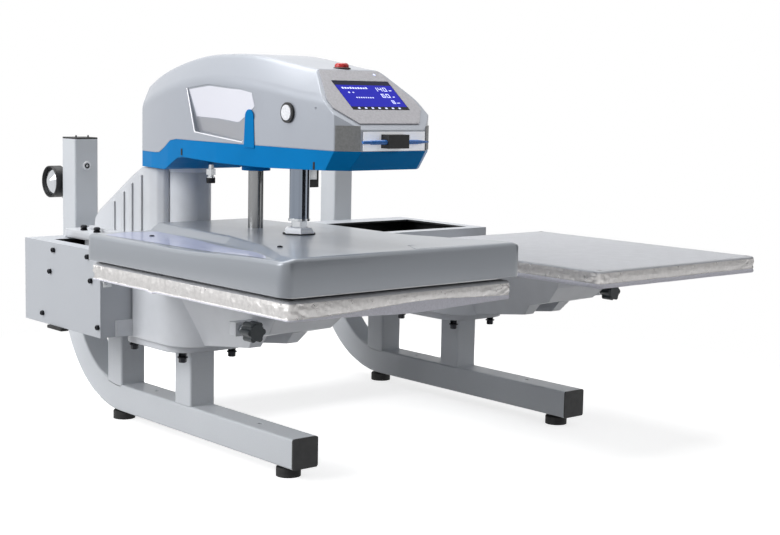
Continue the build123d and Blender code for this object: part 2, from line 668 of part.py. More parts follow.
def gusset_casting():
    """Deck with a tall web behind the column that slopes down towards the back."""
    thickness = DECK_TOP - DECK_BOTTOM
    deck = plate(LEFT_X, DECK_Y, DECK_BOTTOM, 2 * DECK_HALF_WIDTH, DECK_DEPTH, thickness, DECK_CORNER)
    foot = block(LEFT_X - CASTING_FOOT_HALF, LEFT_X + CASTING_FOOT_HALF, SLOT_FRONT + CASTING_FOOT_INSET,
                 SLOT_BACK - CASTING_FOOT_INSET, BLOCK_TOP + CARRIAGE_PLATE_THICKNESS, DECK_BOTTOM + 1)
    slope = side_profile([(WEB_FRONT, DECK_TOP - 1), (WEB_FRONT, CASTING_TOP), (WEB_TOP_BACK, CASTING_TOP),
                          (WEB_TOE - TOE_SLOPE_BACK, TOE_Z + TOE_SLOPE_RISE), (WEB_TOE - TOE_ROUND, TOE_Z),
                          (WEB_TOE, DECK_TOP - 1)], LEFT_X - DECK_HALF_WIDTH, LEFT_X + DECK_HALF_WIDTH)
    web = web_plan(0, CASTING_TOP - DECK_TOP + 1) & slope
    skirting = web_plan(SKIRTING_WIDTH, SKIRTING_HEIGHT + 1)
    ribs = [web_rib(y, side) for y in RIB_Y for side in (-1, 1)]
    body = fuse(web, skirting, *ribs) - column_solid(GROOVE)
    return fuse(deck, foot, body.solids().sort_by(SortBy.VOLUME)[-1])


def column_solid(extra):
    """Round column with a flared base, larger all round by extra."""
    r = COLUMN_RADIUS + extra
    height = COLUMN_TOP - DECK_TOP
    outline = Polyline((0, 0), (r + COLUMN_FLARE, 0), (r + COLUMN_FLARE, 3), (r + 3, 12), (r, 26),
                       (r, height), (0, height), close=True)
    body = revolve(make_face(Plane.XZ * outline), Axis.Z)
    if extra:
        body += post(0, 0, height - 1, r, CASTING_TOP - COLUMN_TOP + 2)
    return Pos(LEFT_X, COLUMN_Y, DECK_TOP) * body


def column():
    front_limit = DECK_FRONT + 0.5
    return column_solid(0) & block(LEFT_X - DECK_HALF_WIDTH, LEFT_X + DECK_HALF_WIDTH, front_limit,
                                   COLUMN_Y + DECK_HALF_WIDTH, DECK_TOP, COLUMN_TOP)


def column_ring():
    return post(LEFT_X, COLUMN_Y, COLUMN_TOP, COLUMN_RADIUS + 1, SKIRT_BOTTOM_REAR - COLUMN_TOP)


def deck_bolts():
    return group([post(LEFT_X + dx, y, DECK_TOP, DECK_BOLT_RADIUS, DECK_BOLT_HEIGHT)
                  for dx in (-DECK_BOLT_X, DECK_BOLT_X) for y in DECK_BOLT_Y])


# Head: one lofted form, split into a painted skirt below and a shell above.


def head_section(y, half, shoulder, top_half, top, inset):
    corners = [(-half + inset, HEAD_LOW), (-half + inset, shoulder - inset * 0.6),
               (-top_half + inset * 0.6, top - inset), (top_half - inset * 0.6, top - inset),
               (half - inset, shoulder - inset * 0.6), (half - inset, HEAD_LOW)]
    wire = Polyline(*[(LEFT_X + x, y, z) for x, z in corners], close=True)
    return make_face(wire)


def head_form(inset):
    """Solid of the head's outside, or of its inside when inset by the sheet thickness."""
    sections = [head_section(*row, inset) for row in HEAD_SECTIONS]
    body = loft(sections, ruled=True)
    half = HEAD_HALF_WIDTH - inset
    corner_half = HEAD_TOP_HALF_WIDTH - inset * 0.4
    front = HEAD_FRONT + inset
    side_front = HEAD_SIDE_FRONT + inset
    rear = HEAD_REAR - inset
    plan = Polyline((LEFT_X - corner_half, front), (LEFT_X + corner_half, front), (LEFT_X + half, side_front),
                    (LEFT_X + half, rear), (LEFT_X - half, rear), (LEFT_X - half, side_front), close=True)
    body = body & extrude(Pos(0, 0, HEAD_LOW - 1) * make_face(plan), 260)
    run = PANEL_TOP_Y - PANEL_BOTTOM_Y
    rise = PANEL_TOP_Z - PANEL_BOTTOM_Z
    length = math.hypot(run, rise)
    drop = inset * length / run
    y0 = PANEL_BOTTOM_Y - run
    z0 = PANEL_BOTTOM_Z - rise - drop
    y1 = PANEL_TOP_Y + run
    z1 = PANEL_TOP_Z + rise - drop
    body = body - side_profile([(y0, z0), (y1, z1), (y1, z1 + 200), (y0 - 50, z1 + 200), (y0 - 50, z0)],
                               LEFT_X - 150, LEFT_X + 150)
    return body - skirt_chamfer(inset)


def skirt_chamfer(inset):
    """Wedges that slope the front of the skirt back towards its lower edge."""
    slope_run = 24.0
    slope_rise = 27.0
    top = SKIRT_TOP_FRONT - 2
    wedges = []
    front = HEAD_FRONT + inset
    outline = [(front - 40, top), (front, top), (front + slope_run * 2, top - slope_rise * 2),
               (front - 40, top - slope_rise * 2)]
    middle = side_profile(outline, LEFT_X - 150, LEFT_X + 150)
    corner_run = HEAD_HALF_WIDTH - HEAD_TOP_HALF_WIDTH
    angle = math.degrees(math.atan2(HEAD_SIDE_FRONT - HEAD_FRONT, corner_run))
    wedges.append(middle)
    for side in (-1, 1):
        turned = side_profile([(-40, top), (0, top), (slope_run * 1.2, top - slope_rise * 2),
                               (-40, top - slope_rise * 2)], -120, 120)
        corner_x = LEFT_X + side * (HEAD_TOP_HALF_WIDTH - inset * 0.4)
        wedges.append(Pos(corner_x, front, 0) * Rot(0, 0, side * angle) * turned)
    return fuse(*wedges)


def below_split(offset):
    """Region under the line where the shell meets the skirt, seen from the side."""
    top_front = SKIRT_TOP_FRONT + offset
    top_rear = SKIRT_TOP_REAR + offset
    return side_profile([(-600, top_front), (-30, top_front + 1), (-8, top_front - 2), (14, top_rear + 10),
                         (34, top_rear + 1), (50, top_rear), (200, top_rear), (200, 400), (-600, 400)],
                        LEFT_X - 150, LEFT_X + 150)


def under_head(lift):
    """Region under the lower edge of the skirt, with the arch in front of the column."""
    outline = [(y, z + lift) for y, z in SKIRT_UNDERSIDE]
    outline += [(HEAD_REAR + 90, SKIRT_BOTTOM_REAR + lift), (HEAD_REAR + 90, HEAD_LOW - 70),
                (-600, HEAD_LOW - 70)]
    return side_profile(outline, LEFT_X - 150, LEFT_X + 150)


def side_tab(side):
    """Round-topped tongue of the skirt that lies on the side of the shell, wider at its foot."""
    outline = Polyline(*[(0, TAB_Y + side_y * half, z) for side_y, half, z in (
        (-1, TAB_FOOT_HALF, SKIRT_TOP_FRONT - 4), (1, TAB_FOOT_HALF, SKIRT_TOP_FRONT - 4),
        (1, TAB_HALF, TAB_TOP - TAB_HALF), (-1, TAB_HALF, TAB_TOP - TAB_HALF))], close=True)
    blade = extrude(make_face(outline), TAB_THICKNESS, dir=(1, 0, 0))
    cap = bar_x(0, TAB_THICKNESS, TAB_Y, TAB_TOP - TAB_HALF, TAB_HALF)
    tab = blade + cap
    inside = LEFT_X + HEAD_HALF_WIDTH if side > 0 else LEFT_X - HEAD_HALF_WIDTH - TAB_THICKNESS
    return Pos(inside, 0, 0) * tab


def head_skirt():
    """Blue lower part of the head: walls, a floor and a tongue on each side."""
    outer = head_form(0) - under_head(0)
    walls = (outer & below_split(0)) - head_form(HEAD_SHEET)
    floor = outer & under_head(SKIRT_FLOOR)
    skirt = walls + floor
    for side in (-1, 1):
        skirt += side_tab(side)
    skirt -= post(LEFT_X, CYLINDER_Y, SKIRT_BOTTOM_REAR, ROD_RADIUS + 3, 60)
    skirt -= post(LEFT_X, GUIDE_Y, SKIRT_BOTTOM_REAR, GUIDE_RADIUS + 8, 60)
    return skirt.solids().sort_by(SortBy.VOLUME)[-1]


def head_shell():
    outer = head_form(0) - below_split(0.0)
    shell = outer - head_form(HEAD_SHEET)
    shell -= block(LEFT_X - 38, LEFT_X + 38, HEAD_REAR - 8, HEAD_REAR + 4, 528, 590)
    for side in (-1, 1):
        shell -= bar_x(LEFT_X + side * 80, LEFT_X + side * 100, BUTTON_Y, BUTTON_Z, BUTTON_BORE)
    shell -= post(LEFT_X, STOP_BUTTON_Y, 640, STOP_BUTTON_RADIUS + 0.4, 60)
    shell -= panel_prism(SCREEN_X0, SCREEN_X1, SCREEN_S0, SCREEN_S1, -12, 3)
    return shell.solids().sort_by(SortBy.VOLUME)[-1]


# Sloping control panel, in its own plane: s runs down the slope from its top edge.


def panel_prism(x0, x1, s0, s1, low, high):
    """Box in the plane of the sloping panel."""
    middle = Pos((x0 + x1) / 2, -(s0 + s1) / 2, (low + high) / 2)
    return PANEL_PLANE * middle * Box(x1 - x0, s1 - s0, high - low)


def screen_bezel():
    outline = Polyline((-57, -3), (57, -3), (84, -72), (84.5, -92), (57, -127), (-57, -127), (-84.5, -92),
                       (-84, -72), close=True)
    sheet = extrude(PANEL_PLANE * make_face(outline), BEZEL_THICKNESS)
    return sheet - panel_prism(SCREEN_X0, SCREEN_X1, SCREEN_S0, SCREEN_S1, -12, 6)


def touch_screen():
    gap = 0.3
    face = BEZEL_THICKNESS - 0.4
    return panel_prism(SCREEN_X0 + gap, SCREEN_X1 - gap, SCREEN_S0 + gap, SCREEN_S1 - gap, -5, face)


def front_plate():
    half = HEAD_TOP_HALF_WIDTH - 2
    front = HEAD_FRONT - FRONT_PLATE_THICKNESS
    return block(LEFT_X - half, LEFT_X + half, front, HEAD_FRONT, SKIRT_TOP_FRONT + 1, PANEL_BOTTOM_Z - 7)


def corner_grilles():
    grilles = []
    run = HEAD_HALF_WIDTH - HEAD_TOP_HALF_WIDTH
    depth = HEAD_SIDE_FRONT - HEAD_FRONT
    length = math.hypot(run, depth) - 4
    angle = math.degrees(math.atan2(depth, run))
    for side in (-1, 1):
        middle_x = LEFT_X + side * (HEAD_TOP_HALF_WIDTH + run / 2)
        middle_y = HEAD_FRONT + depth / 2
        flat = Pos(middle_x, middle_y, 0) * Rot(0, 0, side * angle) * Pos(0, -0.6, 0)
        low = SKIRT_TOP_FRONT + 1
        face = flat * block(-length / 2, length / 2, -0.6, 0.6, low, 574)
        grilles.append(face)
    return group(grilles)


def stylus_clip():
    y0 = STYLUS_Y - 6
    y1 = HEAD_FRONT - FRONT_PLATE_THICKNESS
    body = block(LEFT_X + CLIP_X[0], LEFT_X + CLIP_X[1], y0, y1, STYLUS_Z - 9, STYLUS_Z + 11)
    x0 = LEFT_X + CLIP_X[0] - 1
    x1 = LEFT_X + CLIP_X[1] + 1
    return body - bar_x(x0, x1, STYLUS_Y, STYLUS_Z, STYLUS_RADIUS + 0.1)


def stylus():
    barrel = bar_x(LEFT_X - 58, LEFT_X + 38, STYLUS_Y, STYLUS_Z, STYLUS_RADIUS)
    nib = Pos(LEFT_X + 47, STYLUS_Y, STYLUS_Z) * Rot(0, 90, 0) * Cone(STYLUS_RADIUS, 0.8, 18)
    tail = bar_x(LEFT_X - 70, LEFT_X - 58, STYLUS_Y, STYLUS_Z, 2.2)
    return fuse(barrel, nib, tail)


def start_button(side):
    """Round push button through the side wall, with its stem and switch plunger inside."""
    face = LEFT_X + side * (HEAD_HALF_WIDTH + 5)
    inner = LEFT_X + side * (HEAD_HALF_WIDTH - 14)
    cap = bar_x(inner, face, BUTTON_Y, BUTTON_Z, BUTTON_RADIUS)
    return cap


def button_ring(side):
    outer = LEFT_X + side * (HEAD_HALF_WIDTH + 3.5)
    inner = LEFT_X + side * (HEAD_HALF_WIDTH - HEAD_SHEET)
    flange_in = LEFT_X + side * (HEAD_HALF_WIDTH)
    sleeve = bar_x(inner, outer, BUTTON_Y, BUTTON_Z, BUTTON_BORE - 0.1)
    flange = bar_x(flange_in, outer, BUTTON_Y, BUTTON_Z, BUTTON_BORE + 1.6)
    hole = bar_x(inner - side, outer + side, BUTTON_Y, BUTTON_Z, BUTTON_RADIUS + 0.3)
    return sleeve + flange - hole


def button_rings():
    return group([button_ring(-1), button_ring(1)])


def stop_button():
    dome = post(LEFT_X, STOP_BUTTON_Y, 645, STOP_BUTTON_RADIUS, 20)
    return fillet(dome.edges().group_by(Axis.Z)[-1], 5)


# Structure and working parts inside the head.
def head_spine():
    """Steel plate from the column to the cylinder, the head's real load path."""
    arm = plate(LEFT_X, SPINE_Y, SPINE_BOTTOM, SPINE_WIDTH, SPINE_LENGTH, SPINE_THICKNESS, 12)
    back = COLUMN_Y + COLUMN_RADIUS + 1
    root = block(LEFT_X - SPINE_RISER_HALF, LEFT_X + SPINE_RISER_HALF, DECK_FRONT + 3, back, SPINE_BOTTOM,
                 SPINE_BOTTOM + SPINE_THICKNESS)
    riser = block(LEFT_X - SPINE_RISER_HALF, LEFT_X + SPINE_RISER_HALF, DECK_FRONT + 13, back,
                  SKIRT_BOTTOM_REAR + SKIRT_FLOOR + 0.2, SPINE_BOTTOM)
    arm = fuse(arm, root, riser)
    arm -= post(LEFT_X, CYLINDER_Y, SPINE_BOTTOM - 6, ROD_RADIUS + 2, 40)
    return arm - post(LEFT_X, GUIDE_Y, SPINE_BOTTOM - 6, GUIDE_RADIUS + 8, 40)


def air_cylinder():
    body = post(LEFT_X, CYLINDER_Y, CYLINDER_BOTTOM, CYLINDER_BORE + 6, CYLINDER_HEIGHT)
    bore = post(LEFT_X, CYLINDER_Y, CYLINDER_BOTTOM + 10, CYLINDER_BORE, CYLINDER_HEIGHT - 18)
    rod_way = post(LEFT_X, CYLINDER_Y, CYLINDER_BOTTOM - 1, ROD_RADIUS + SLIDE_GAP, 30)
    return body - bore - rod_way


def guide_bush():
    """Plain bush for the guide rod, with a collar under the skirt."""
    outer = post(LEFT_X, GUIDE_Y, BUSH_BOTTOM, GUIDE_RADIUS + 7.5, BUSH_HEIGHT)
    collar = post(LEFT_X, GUIDE_Y, BUSH_BOTTOM - 7, COLLAR_RADIUS, 10)
    bore = post(LEFT_X, GUIDE_Y, BUSH_BOTTOM - 18, GUIDE_RADIUS + SLIDE_GAP, BUSH_HEIGHT + 28)
    return outer + collar - bore


def stop_bolt():
    """Buffer bolt with its lock nut, under the skirt in front of the column."""
    tip = post(LEFT_X, STOP_Y, STOP_BOTTOM, STOP_TIP_RADIUS, 11)
    shank = post(LEFT_X, STOP_Y, STOP_BOTTOM + 10, STOP_SHANK_RADIUS, 21.5)
    lock_nut = extrude(Pos(LEFT_X, STOP_Y, STOP_BOTTOM + 14) * RegularPolygon(STOP_NUT_RADIUS, 6), 10)
    return fuse(shank, lock_nut, tip)


def proximity_sensor():
    """Sensor block on a flat bracket under the skirt."""
    bracket = block(SENSOR_X - 4, SENSOR_X + 12, SENSOR_Y - 4, SENSOR_Y, SENSOR_BOTTOM + 12, SENSOR_BRACKET_TOP)
    body = block(SENSOR_X, SENSOR_X + 20, SENSOR_Y, SENSOR_Y + 14, SENSOR_BOTTOM, SENSOR_BOTTOM + 28)
    return fuse(bracket, body)


def control_board():
    """Circuit board behind the display, with its cell."""
    board = panel_prism(-52, 56, SCREEN_S0 - 6, SCREEN_S1 + 8, -BOARD_DEPTH - 2, -BOARD_DEPTH)
    cell = panel_prism(-30, -2, 40, 70, -BOARD_DEPTH - 8, -BOARD_DEPTH - 2)
    return fuse(board, cell)


def air_valve():
    """Valve block with its coil and side port, on the spine."""
    body = block(LEFT_X - 24, LEFT_X + 24, VALVE_Y - 21, VALVE_Y + 21, VALVE_BOTTOM, VALVE_BOTTOM + 40)
    coil = block(LEFT_X - 18, LEFT_X + 18, VALVE_Y - 15, VALVE_Y + 15, VALVE_BOTTOM + 40, VALVE_BOTTOM + 74)
    port = bar_x(LEFT_X + 24, LEFT_X + 40, VALVE_Y, VALVE_BOTTOM + 20, 6)
    return fuse(body, coil, port)


def rear_panel():
    """Panel in the back of the head with the mains inlet, the switch window and the air fitting."""
    face = HEAD_REAR - HEAD_SHEET
    sheet = block(LEFT_X - PANEL_HALF_WIDTH, LEFT_X + PANEL_HALF_WIDTH, face, HEAD_REAR, PANEL_LOW, PANEL_HIGH)
    sheet -= block(INLET_LEFT, INLET_RIGHT, face - 1, HEAD_REAR + 1, INLET_BOTTOM, INLET_TOP)
    sheet -= block(*SWITCH_WINDOW)
    inlet = block(INLET_LEFT, INLET_RIGHT, face - 20, face + 5, INLET_BOTTOM, INLET_TOP)
    inlet -= block(INLET_LEFT + INLET_WALL, INLET_RIGHT - INLET_WALL, face - 16, face + 6,
                   INLET_BOTTOM + INLET_WALL, INLET_TOP - INLET_WALL)
    pin_z = (INLET_BOTTOM + INLET_TOP) / 2
    pins = [block(LEFT_X + offset - 1, LEFT_X + offset + 1, face - 18, face - 6, pin_z - 3, pin_z + 3)
            for offset in PIN_OFFSETS]
    fitting = bar_y(FITTING_X, face - 12, face + 14, FITTING_Z, FITTING_RADIUS)
    panel = fuse(sheet, inlet, fitting, *pins)
    return panel - bar_y(FITTING_X, face - 2, face + 15, FITTING_Z, FITTING_BORE)


def power_switch():
    """Rocker on a short pin, proud of the rear panel."""
    x0 = LEFT_X + 14.5
    x1 = LEFT_X + 31.5
    rocker = side_profile([(HEAD_REAR - 9, 561), (HEAD_REAR + 1.5, 559.5), (HEAD_REAR + 2.4, 569),
                           (HEAD_REAR + 4.5, 577.5), (HEAD_REAR - 9, 577)], x0, x1)
    return rocker


# Rods, heat platen and cover: the group that the cylinder lifts.
def piston_rod():
    """Rod with its piston above and the stud and lock nuts below."""
    rod = post(LEFT_X, CYLINDER_Y, ROD_FOOT, ROD_RADIUS, PISTON_BOTTOM + 12 - ROD_FOOT)
    piston = post(LEFT_X, CYLINDER_Y, PISTON_BOTTOM, CYLINDER_BORE - SLIDE_GAP, PISTON_HEIGHT)
    stud = post(LEFT_X, CYLINDER_Y, STUD_BOTTOM, STUD_RADIUS, ROD_FOOT - STUD_BOTTOM)
    nut_low = extrude(Pos(LEFT_X, CYLINDER_Y, STUD_BOTTOM + 1.5) * RegularPolygon(14, 6), 6)
    nut_high = extrude(Pos(LEFT_X, CYLINDER_Y, STUD_BOTTOM + 10) * RegularPolygon(12.5, 6), 11)
    return fuse(rod, piston, stud, nut_low, nut_high)


def rod_flange():
    """Hexagonal flange nut that ties the rod to the heat platen."""
    low = PLATEAU_Z - ROD_FLANGE_SINK
    head = extrude(Pos(LEFT_X, CYLINDER_Y, low) * RegularPolygon(ROD_FLANGE_RADIUS, 6), 9)
    return head - post(LEFT_X, CYLINDER_Y, STUD_BOTTOM, 14, 10)


def guide_rod():
    foot = HEAT_BOTTOM + HEAT_THICKNESS
    return post(LEFT_X, GUIDE_Y, foot, GUIDE_RADIUS, 590 - foot)


def heat_platen():
    """Cast slab with its element sealed inside, and the boss that the rod flange stands on."""
    top = HEAT_BOTTOM + HEAT_THICKNESS
    slab = plate(LEFT_X, COVER_Y + 4, HEAT_BOTTOM, HEAT_WIDTH, HEAT_LENGTH, HEAT_THICKNESS, HEAT_CORNER)
    boss = post(LEFT_X, CYLINDER_Y, top - 1, HEAT_BOSS_RADIUS, PLATEAU_Z - ROD_FLANGE_SINK - top + 1)
    return slab + boss


def plateau_outline(inset, flare):
    """Raised middle of the cover: narrow at the back, flaring to the full width at the front."""
    front = COVER_Y - COVER_LENGTH / 2 + inset * 0.3
    back = COVER_Y + COVER_LENGTH / 2 - inset * 0.3
    right = [(94, back), (104, -110), (118, -245), (150, -365), (196, -478), (COVER_WIDTH / 2 - 6, front + 8),
             (COVER_WIDTH / 2 - 12, front)]
    right = [(x - inset + flare, y) for x, y in right]
    left = [(-x, y) for x, y in reversed(right)]
    return Polyline(*[(LEFT_X + x, y) for x, y in right + left], close=True)


def platen_cover():
    """Pressed cover over the heat platen: a flat shoulder round a raised middle, hollow below."""
    height = SHOULDER_Z - COVER_BOTTOM
    inner_width = COVER_WIDTH - 2 * COVER_SHEET
    inner_length = COVER_LENGTH - 2 * COVER_SHEET
    inner_corner = COVER_CORNER - COVER_SHEET
    base = plate(LEFT_X, COVER_Y, COVER_BOTTOM, COVER_WIDTH, COVER_LENGTH, height, COVER_CORNER)
    low = Pos(0, 0, SHOULDER_Z - 1) * make_face(plateau_outline(0, PLATEAU_SLOPE))
    high = Pos(0, 0, PLATEAU_Z) * make_face(plateau_outline(2, 0))
    limit = plate(LEFT_X, COVER_Y, COVER_BOTTOM, COVER_WIDTH, COVER_LENGTH, 2 * height, COVER_CORNER)
    outer = base + (loft([low, high], ruled=True) & limit)
    hollow = plate(LEFT_X, COVER_Y, COVER_BOTTOM - 1, inner_width, inner_length,
                   height - COVER_SHEET + 1, inner_corner)
    inner_low = Pos(0, 0, SHOULDER_Z - 6) * make_face(plateau_outline(5, PLATEAU_SLOPE - 4))
    inner_high = Pos(0, 0, PLATEAU_Z - COVER_SHEET) * make_face(plateau_outline(8, -2))
    inner_limit = plate(LEFT_X, COVER_Y, COVER_BOTTOM, inner_width, inner_length, 2 * height, inner_corner)
    cover = outer - hollow - (loft([inner_low, inner_high], ruled=True) & inner_limit)
    cover -= post(LEFT_X, GUIDE_Y, SHOULDER_Z - 5, GUIDE_RADIUS + 1.5, 30)
    return cover - post(LEFT_X, CYLINDER_Y, SHOULDER_Z - 5, ROD_FLANGE_RADIUS + 4, 30)


PARTS = {
    "left_leg": lambda: leg(LEFT_X),
    "right_leg": lambda: leg(RIGHT_X),
    "front_posts": front_posts,
    "rear_posts": rear_posts,
    "leg_end_caps": leg_end_caps,
    "upright_caps": upright_caps,
    "rubber_feet": rubber_feet,
    "beam_tray": beam_tray,
    "beam_end_plates": beam_end_plates,
    "beam_screws": beam_screws,
    "rail_bed": rail_bed,
    "shuttle_rails": shuttle_rails,
    "travel_bumpers": travel_bumpers,
    "upright_brackets": upright_brackets,
    "left_pedestal": lambda: pedestal(LEFT_X),
    "right_pedestal": lambda: pedestal(RIGHT_X),
    "pedestal_bolts": pedestal_bolts,
    "left_platen_plate": lambda: platen_plate(LEFT_X),
    "right_platen_plate": lambda: platen_plate(RIGHT_X),
    "left_pad_foam": lambda: pad_foam(LEFT_X),
    "right_pad_foam": lambda: pad_foam(RIGHT_X),
    "left_pad_cover": lambda: pad_cover(LEFT_X),
    "right_pad_cover": lambda: pad_cover(RIGHT_X),
    "regulator_body": regulator_body,
    "pressure_gauge": pressure_gauge,
    "regulator_knob": regulator_knob,
    "left_clamp_knob": lambda: clamp_knob(LEFT_X),
    "right_clamp_knob": lambda: clamp_knob(RIGHT_X),
    "bearing_blocks": bearing_blocks,
    "carriage_plate": carriage_plate,
    "gusset_casting": gusset_casting,
    "column": column,
    "column_ring": column_ring,
    "deck_bolts": deck_bolts,
    "head_skirt": head_skirt,
    "head_shell": head_shell,
    "head_spine": head_spine,
    "front_plate": front_plate,
    "corner_grilles": corner_grilles,
    "screen_bezel": screen_bezel,
    "touch_screen": touch_screen,
    "stylus_clip": stylus_clip,
    "stylus": stylus,
    "button_rings": button_rings,
    "left_start_button": lambda: start_button(-1),
    "right_start_button": lambda: start_button(1),
    "stop_button": stop_button,
    "air_cylinder": air_cylinder,
    "guide_bush": guide_bush,
    "stop_bolt": stop_bolt,
    "proximity_sensor": proximity_sensor,
    "control_board": control_board,
    "air_valve": air_valve,
    "rear_panel": rear_panel,
    "power_switch": power_switch,
    "piston_rod": piston_rod,
    "rod_flange": rod_flange,
    "guide_rod": guide_rod,
    "heat_platen": heat_platen,
    "platen_cover": platen_cover,
}

for name, make in PARTS.items():
    shape = make()
    export_step(shape, f"parts/{name}.step")
    print(name, round(shape.volume))
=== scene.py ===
import math

import bmesh
import bpy
from mathutils import Matrix, Vector, noise


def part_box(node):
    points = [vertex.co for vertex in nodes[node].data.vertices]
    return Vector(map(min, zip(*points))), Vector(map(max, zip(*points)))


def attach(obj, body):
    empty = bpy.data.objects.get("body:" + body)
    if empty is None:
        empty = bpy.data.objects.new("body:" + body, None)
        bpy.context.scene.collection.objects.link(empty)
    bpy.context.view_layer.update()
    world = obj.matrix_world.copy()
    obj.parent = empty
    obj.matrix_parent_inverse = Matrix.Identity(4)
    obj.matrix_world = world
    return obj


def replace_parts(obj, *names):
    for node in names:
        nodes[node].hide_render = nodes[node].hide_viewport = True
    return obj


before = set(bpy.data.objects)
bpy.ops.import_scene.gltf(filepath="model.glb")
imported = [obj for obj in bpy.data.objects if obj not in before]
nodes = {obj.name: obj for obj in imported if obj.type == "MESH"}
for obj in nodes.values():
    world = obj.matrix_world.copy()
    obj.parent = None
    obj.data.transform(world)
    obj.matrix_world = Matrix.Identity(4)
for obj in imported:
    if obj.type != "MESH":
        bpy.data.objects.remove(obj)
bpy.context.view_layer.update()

# Sizes and places of the object are in mm from here on. Lamps and camera are in metres.
MM = 0.001
RIGHT = (1, 0, 0)
LEFT = (-1, 0, 0)
FRONT = (0, -1, 0)
BACK = (0, 1, 0)
UP = (0, 0, 1)
DOWN = (0, 0, -1)
QUARTER = math.pi / 2

# The camera stands where the photograph was taken from, and this is its lens.
CAMERA_PLACE = Vector((-1.7080, -2.0924, 0.6263))
CAMERA_RIGHT = Vector((0.7568, -0.6533, 0.0206))
CAMERA_UP = Vector((0.0637, 0.1051, 0.9924))
PICTURE_WIDTH = 780
FOCAL_PIXELS = 1456.34
SENSOR_MM = 36.0


# Colours and materials
def rgb(red, green, blue):
    """Linear colour from the red, green and blue of a screen colour."""
    shares = [channel / 255 for channel in (red, green, blue)]
    return (*[s / 12.92 if s <= 0.04045 else ((s + 0.055) / 1.055) ** 2.4 for s in shares], 1.0)


def add_node(tree, kind, links=None, values=None):
    """Shader node with its linked and its plain inputs."""
    node = tree.nodes.new("ShaderNode" + kind)
    for name, source in (links or {}).items():
        tree.links.new(source, node.inputs[name])
    for name, value in (values or {}).items():
        node.inputs[name].default_value = value
    return node


class Finish:
    """A material built from nodes: colour grain, uneven roughness, relief and softened edges."""

    def __init__(self, name, colour, roughness, values=None):
        self.material = bpy.data.materials.new(name)
        self.material.use_nodes = True
        self.tree = self.material.node_tree
        self.shader = self.tree.nodes["Principled BSDF"]
        self.colour = rgb(*colour)
        self.set({"Base Color": self.colour, "Roughness": roughness, **(values or {})})
        self.place = self.node("TexCoord").outputs["Object"]
        self.normal = None

    def set(self, values):
        for name, value in values.items():
            self.shader.inputs[name].default_value = value
        return self

    def node(self, kind, links=None, values=None):
        return add_node(self.tree, kind, links, values)

    def drive(self, source, name):
        self.tree.links.new(source, self.shader.inputs[name])
        return self

    def noise(self, scale, detail, stretch):
        mapping = self.node("Mapping", {"Vector": self.place}, {"Scale": stretch})
        place = mapping.outputs["Vector"]
        values = {"Scale": scale, "Detail": detail}
        return self.node("TexNoise", {"Vector": place}, values).outputs["Fac"]

    def spread(self, source, low, high):
        """Middle part of a noise, stretched over a range."""
        values = {"From Min": 0.3, "From Max": 0.7, "To Min": low, "To Max": high}
        return self.node("MapRange", {"Value": source}, values).outputs["Result"]

    def grain(self, scale, amount, stretch=(1, 1, 1)):
        """Colour that varies by a share."""
        mix = self.node("Mix")
        mix.data_type = "RGBA"
        for name, share in (("A", 1 - amount), ("B", 1 + amount)):
            mix.inputs[name].default_value = (*[min(1.0, c * share) for c in self.colour[:3]], 1.0)
        self.tree.links.new(self.spread(self.noise(scale, 6.0, stretch), 0, 1), mix.inputs["Factor"])
        return self.drive(mix.outputs["Result"], "Base Color")

    def uneven(self, scale, low, high, stretch=(1, 1, 1)):
        """Roughness that varies between two values."""
        return self.drive(self.spread(self.noise(scale, 5.0, stretch), low, high), "Roughness")

    def bump(self, height, depth):
        """Bumps on top of those before, their depth in mm."""
        links = {"Height": height, "Normal": self.normal} if self.normal else {"Height": height}
        values = {"Distance": depth * MM, "Strength": 1.0}
        self.normal = self.node("Bump", links, values).outputs["Normal"]
        return self.drive(self.normal, "Normal")

    def relief(self, scale, depth, stretch=(1, 1, 1), detail=4.0):
        """Fine bumps all over."""
        return self.bump(self.noise(scale, detail, stretch), depth)

    def weave(self, pitch, depth):
        """Crossed threads of a cloth."""
        for direction in ("X", "Y"):
            values = {"Scale": math.tau / (20 * pitch * MM)}
            wave = self.node("TexWave", {"Vector": self.place}, values)
            wave.bands_direction = direction
            self.bump(wave.outputs["Fac"], depth)
        return self

    def soft_edges(self, radius):
        """Edges that catch the light as a rounded edge does."""
        bevel = self.node("Bevel", {}, {"Radius": radius * MM})
        bevel.samples = 6
        self.normal = bevel.outputs["Normal"]
        return self.drive(self.normal, "Normal")

    def glow(self, colour, strength):
        return self.set({"Emission Color": rgb(*colour), "Emission Strength": strength})


def powder_coat(name, colour):
    finish = Finish(name, colour, 0.42, {"Coat Weight": 0.15, "Coat Roughness": 0.3}).soft_edges(1.2)
    return finish.grain(900, 0.04).uneven(14, 0.38, 0.5).relief(1400, 0.06).material


def casting_paint(name, colour, edge=3):
    finish = Finish(name, colour, 0.38, {"Coat Weight": 0.2, "Coat Roughness": 0.25}).soft_edges(edge)
    return finish.grain(30, 0.03).uneven(22, 0.34, 0.46).relief(260, 0.18).material


def pearl_paint(name, colour, edge):
    finish = Finish(name, colour, 0.34, {"Metallic": 0.3, "Coat Weight": 0.3, "Coat Roughness": 0.14})
    return finish.soft_edges(edge).grain(2600, 0.035).uneven(9, 0.31, 0.38).relief(700, 0.03).material


def gloss_paint(name, colour, coat=0.5, specular=0.5):
    finish = Finish(name, colour, 0.34, {"Coat Weight": coat, "Coat Roughness": 0.1, "Specular IOR Level": specular})
    return finish.soft_edges(1.5).grain(12, 0.05).uneven(40, 0.3, 0.38).relief(600, 0.03).material


def moulded_plastic(name, colour, roughness=0.5, glow=None):
    finish = Finish(name, colour, roughness).soft_edges(0.6).grain(300, 0.12)
    # A glow on plastic is painted light; only the front plate is given one.
    if glow:
        finish.glow(*glow)
    return finish.uneven(90, roughness - 0.06, roughness + 0.08).relief(2200, 0.05).material


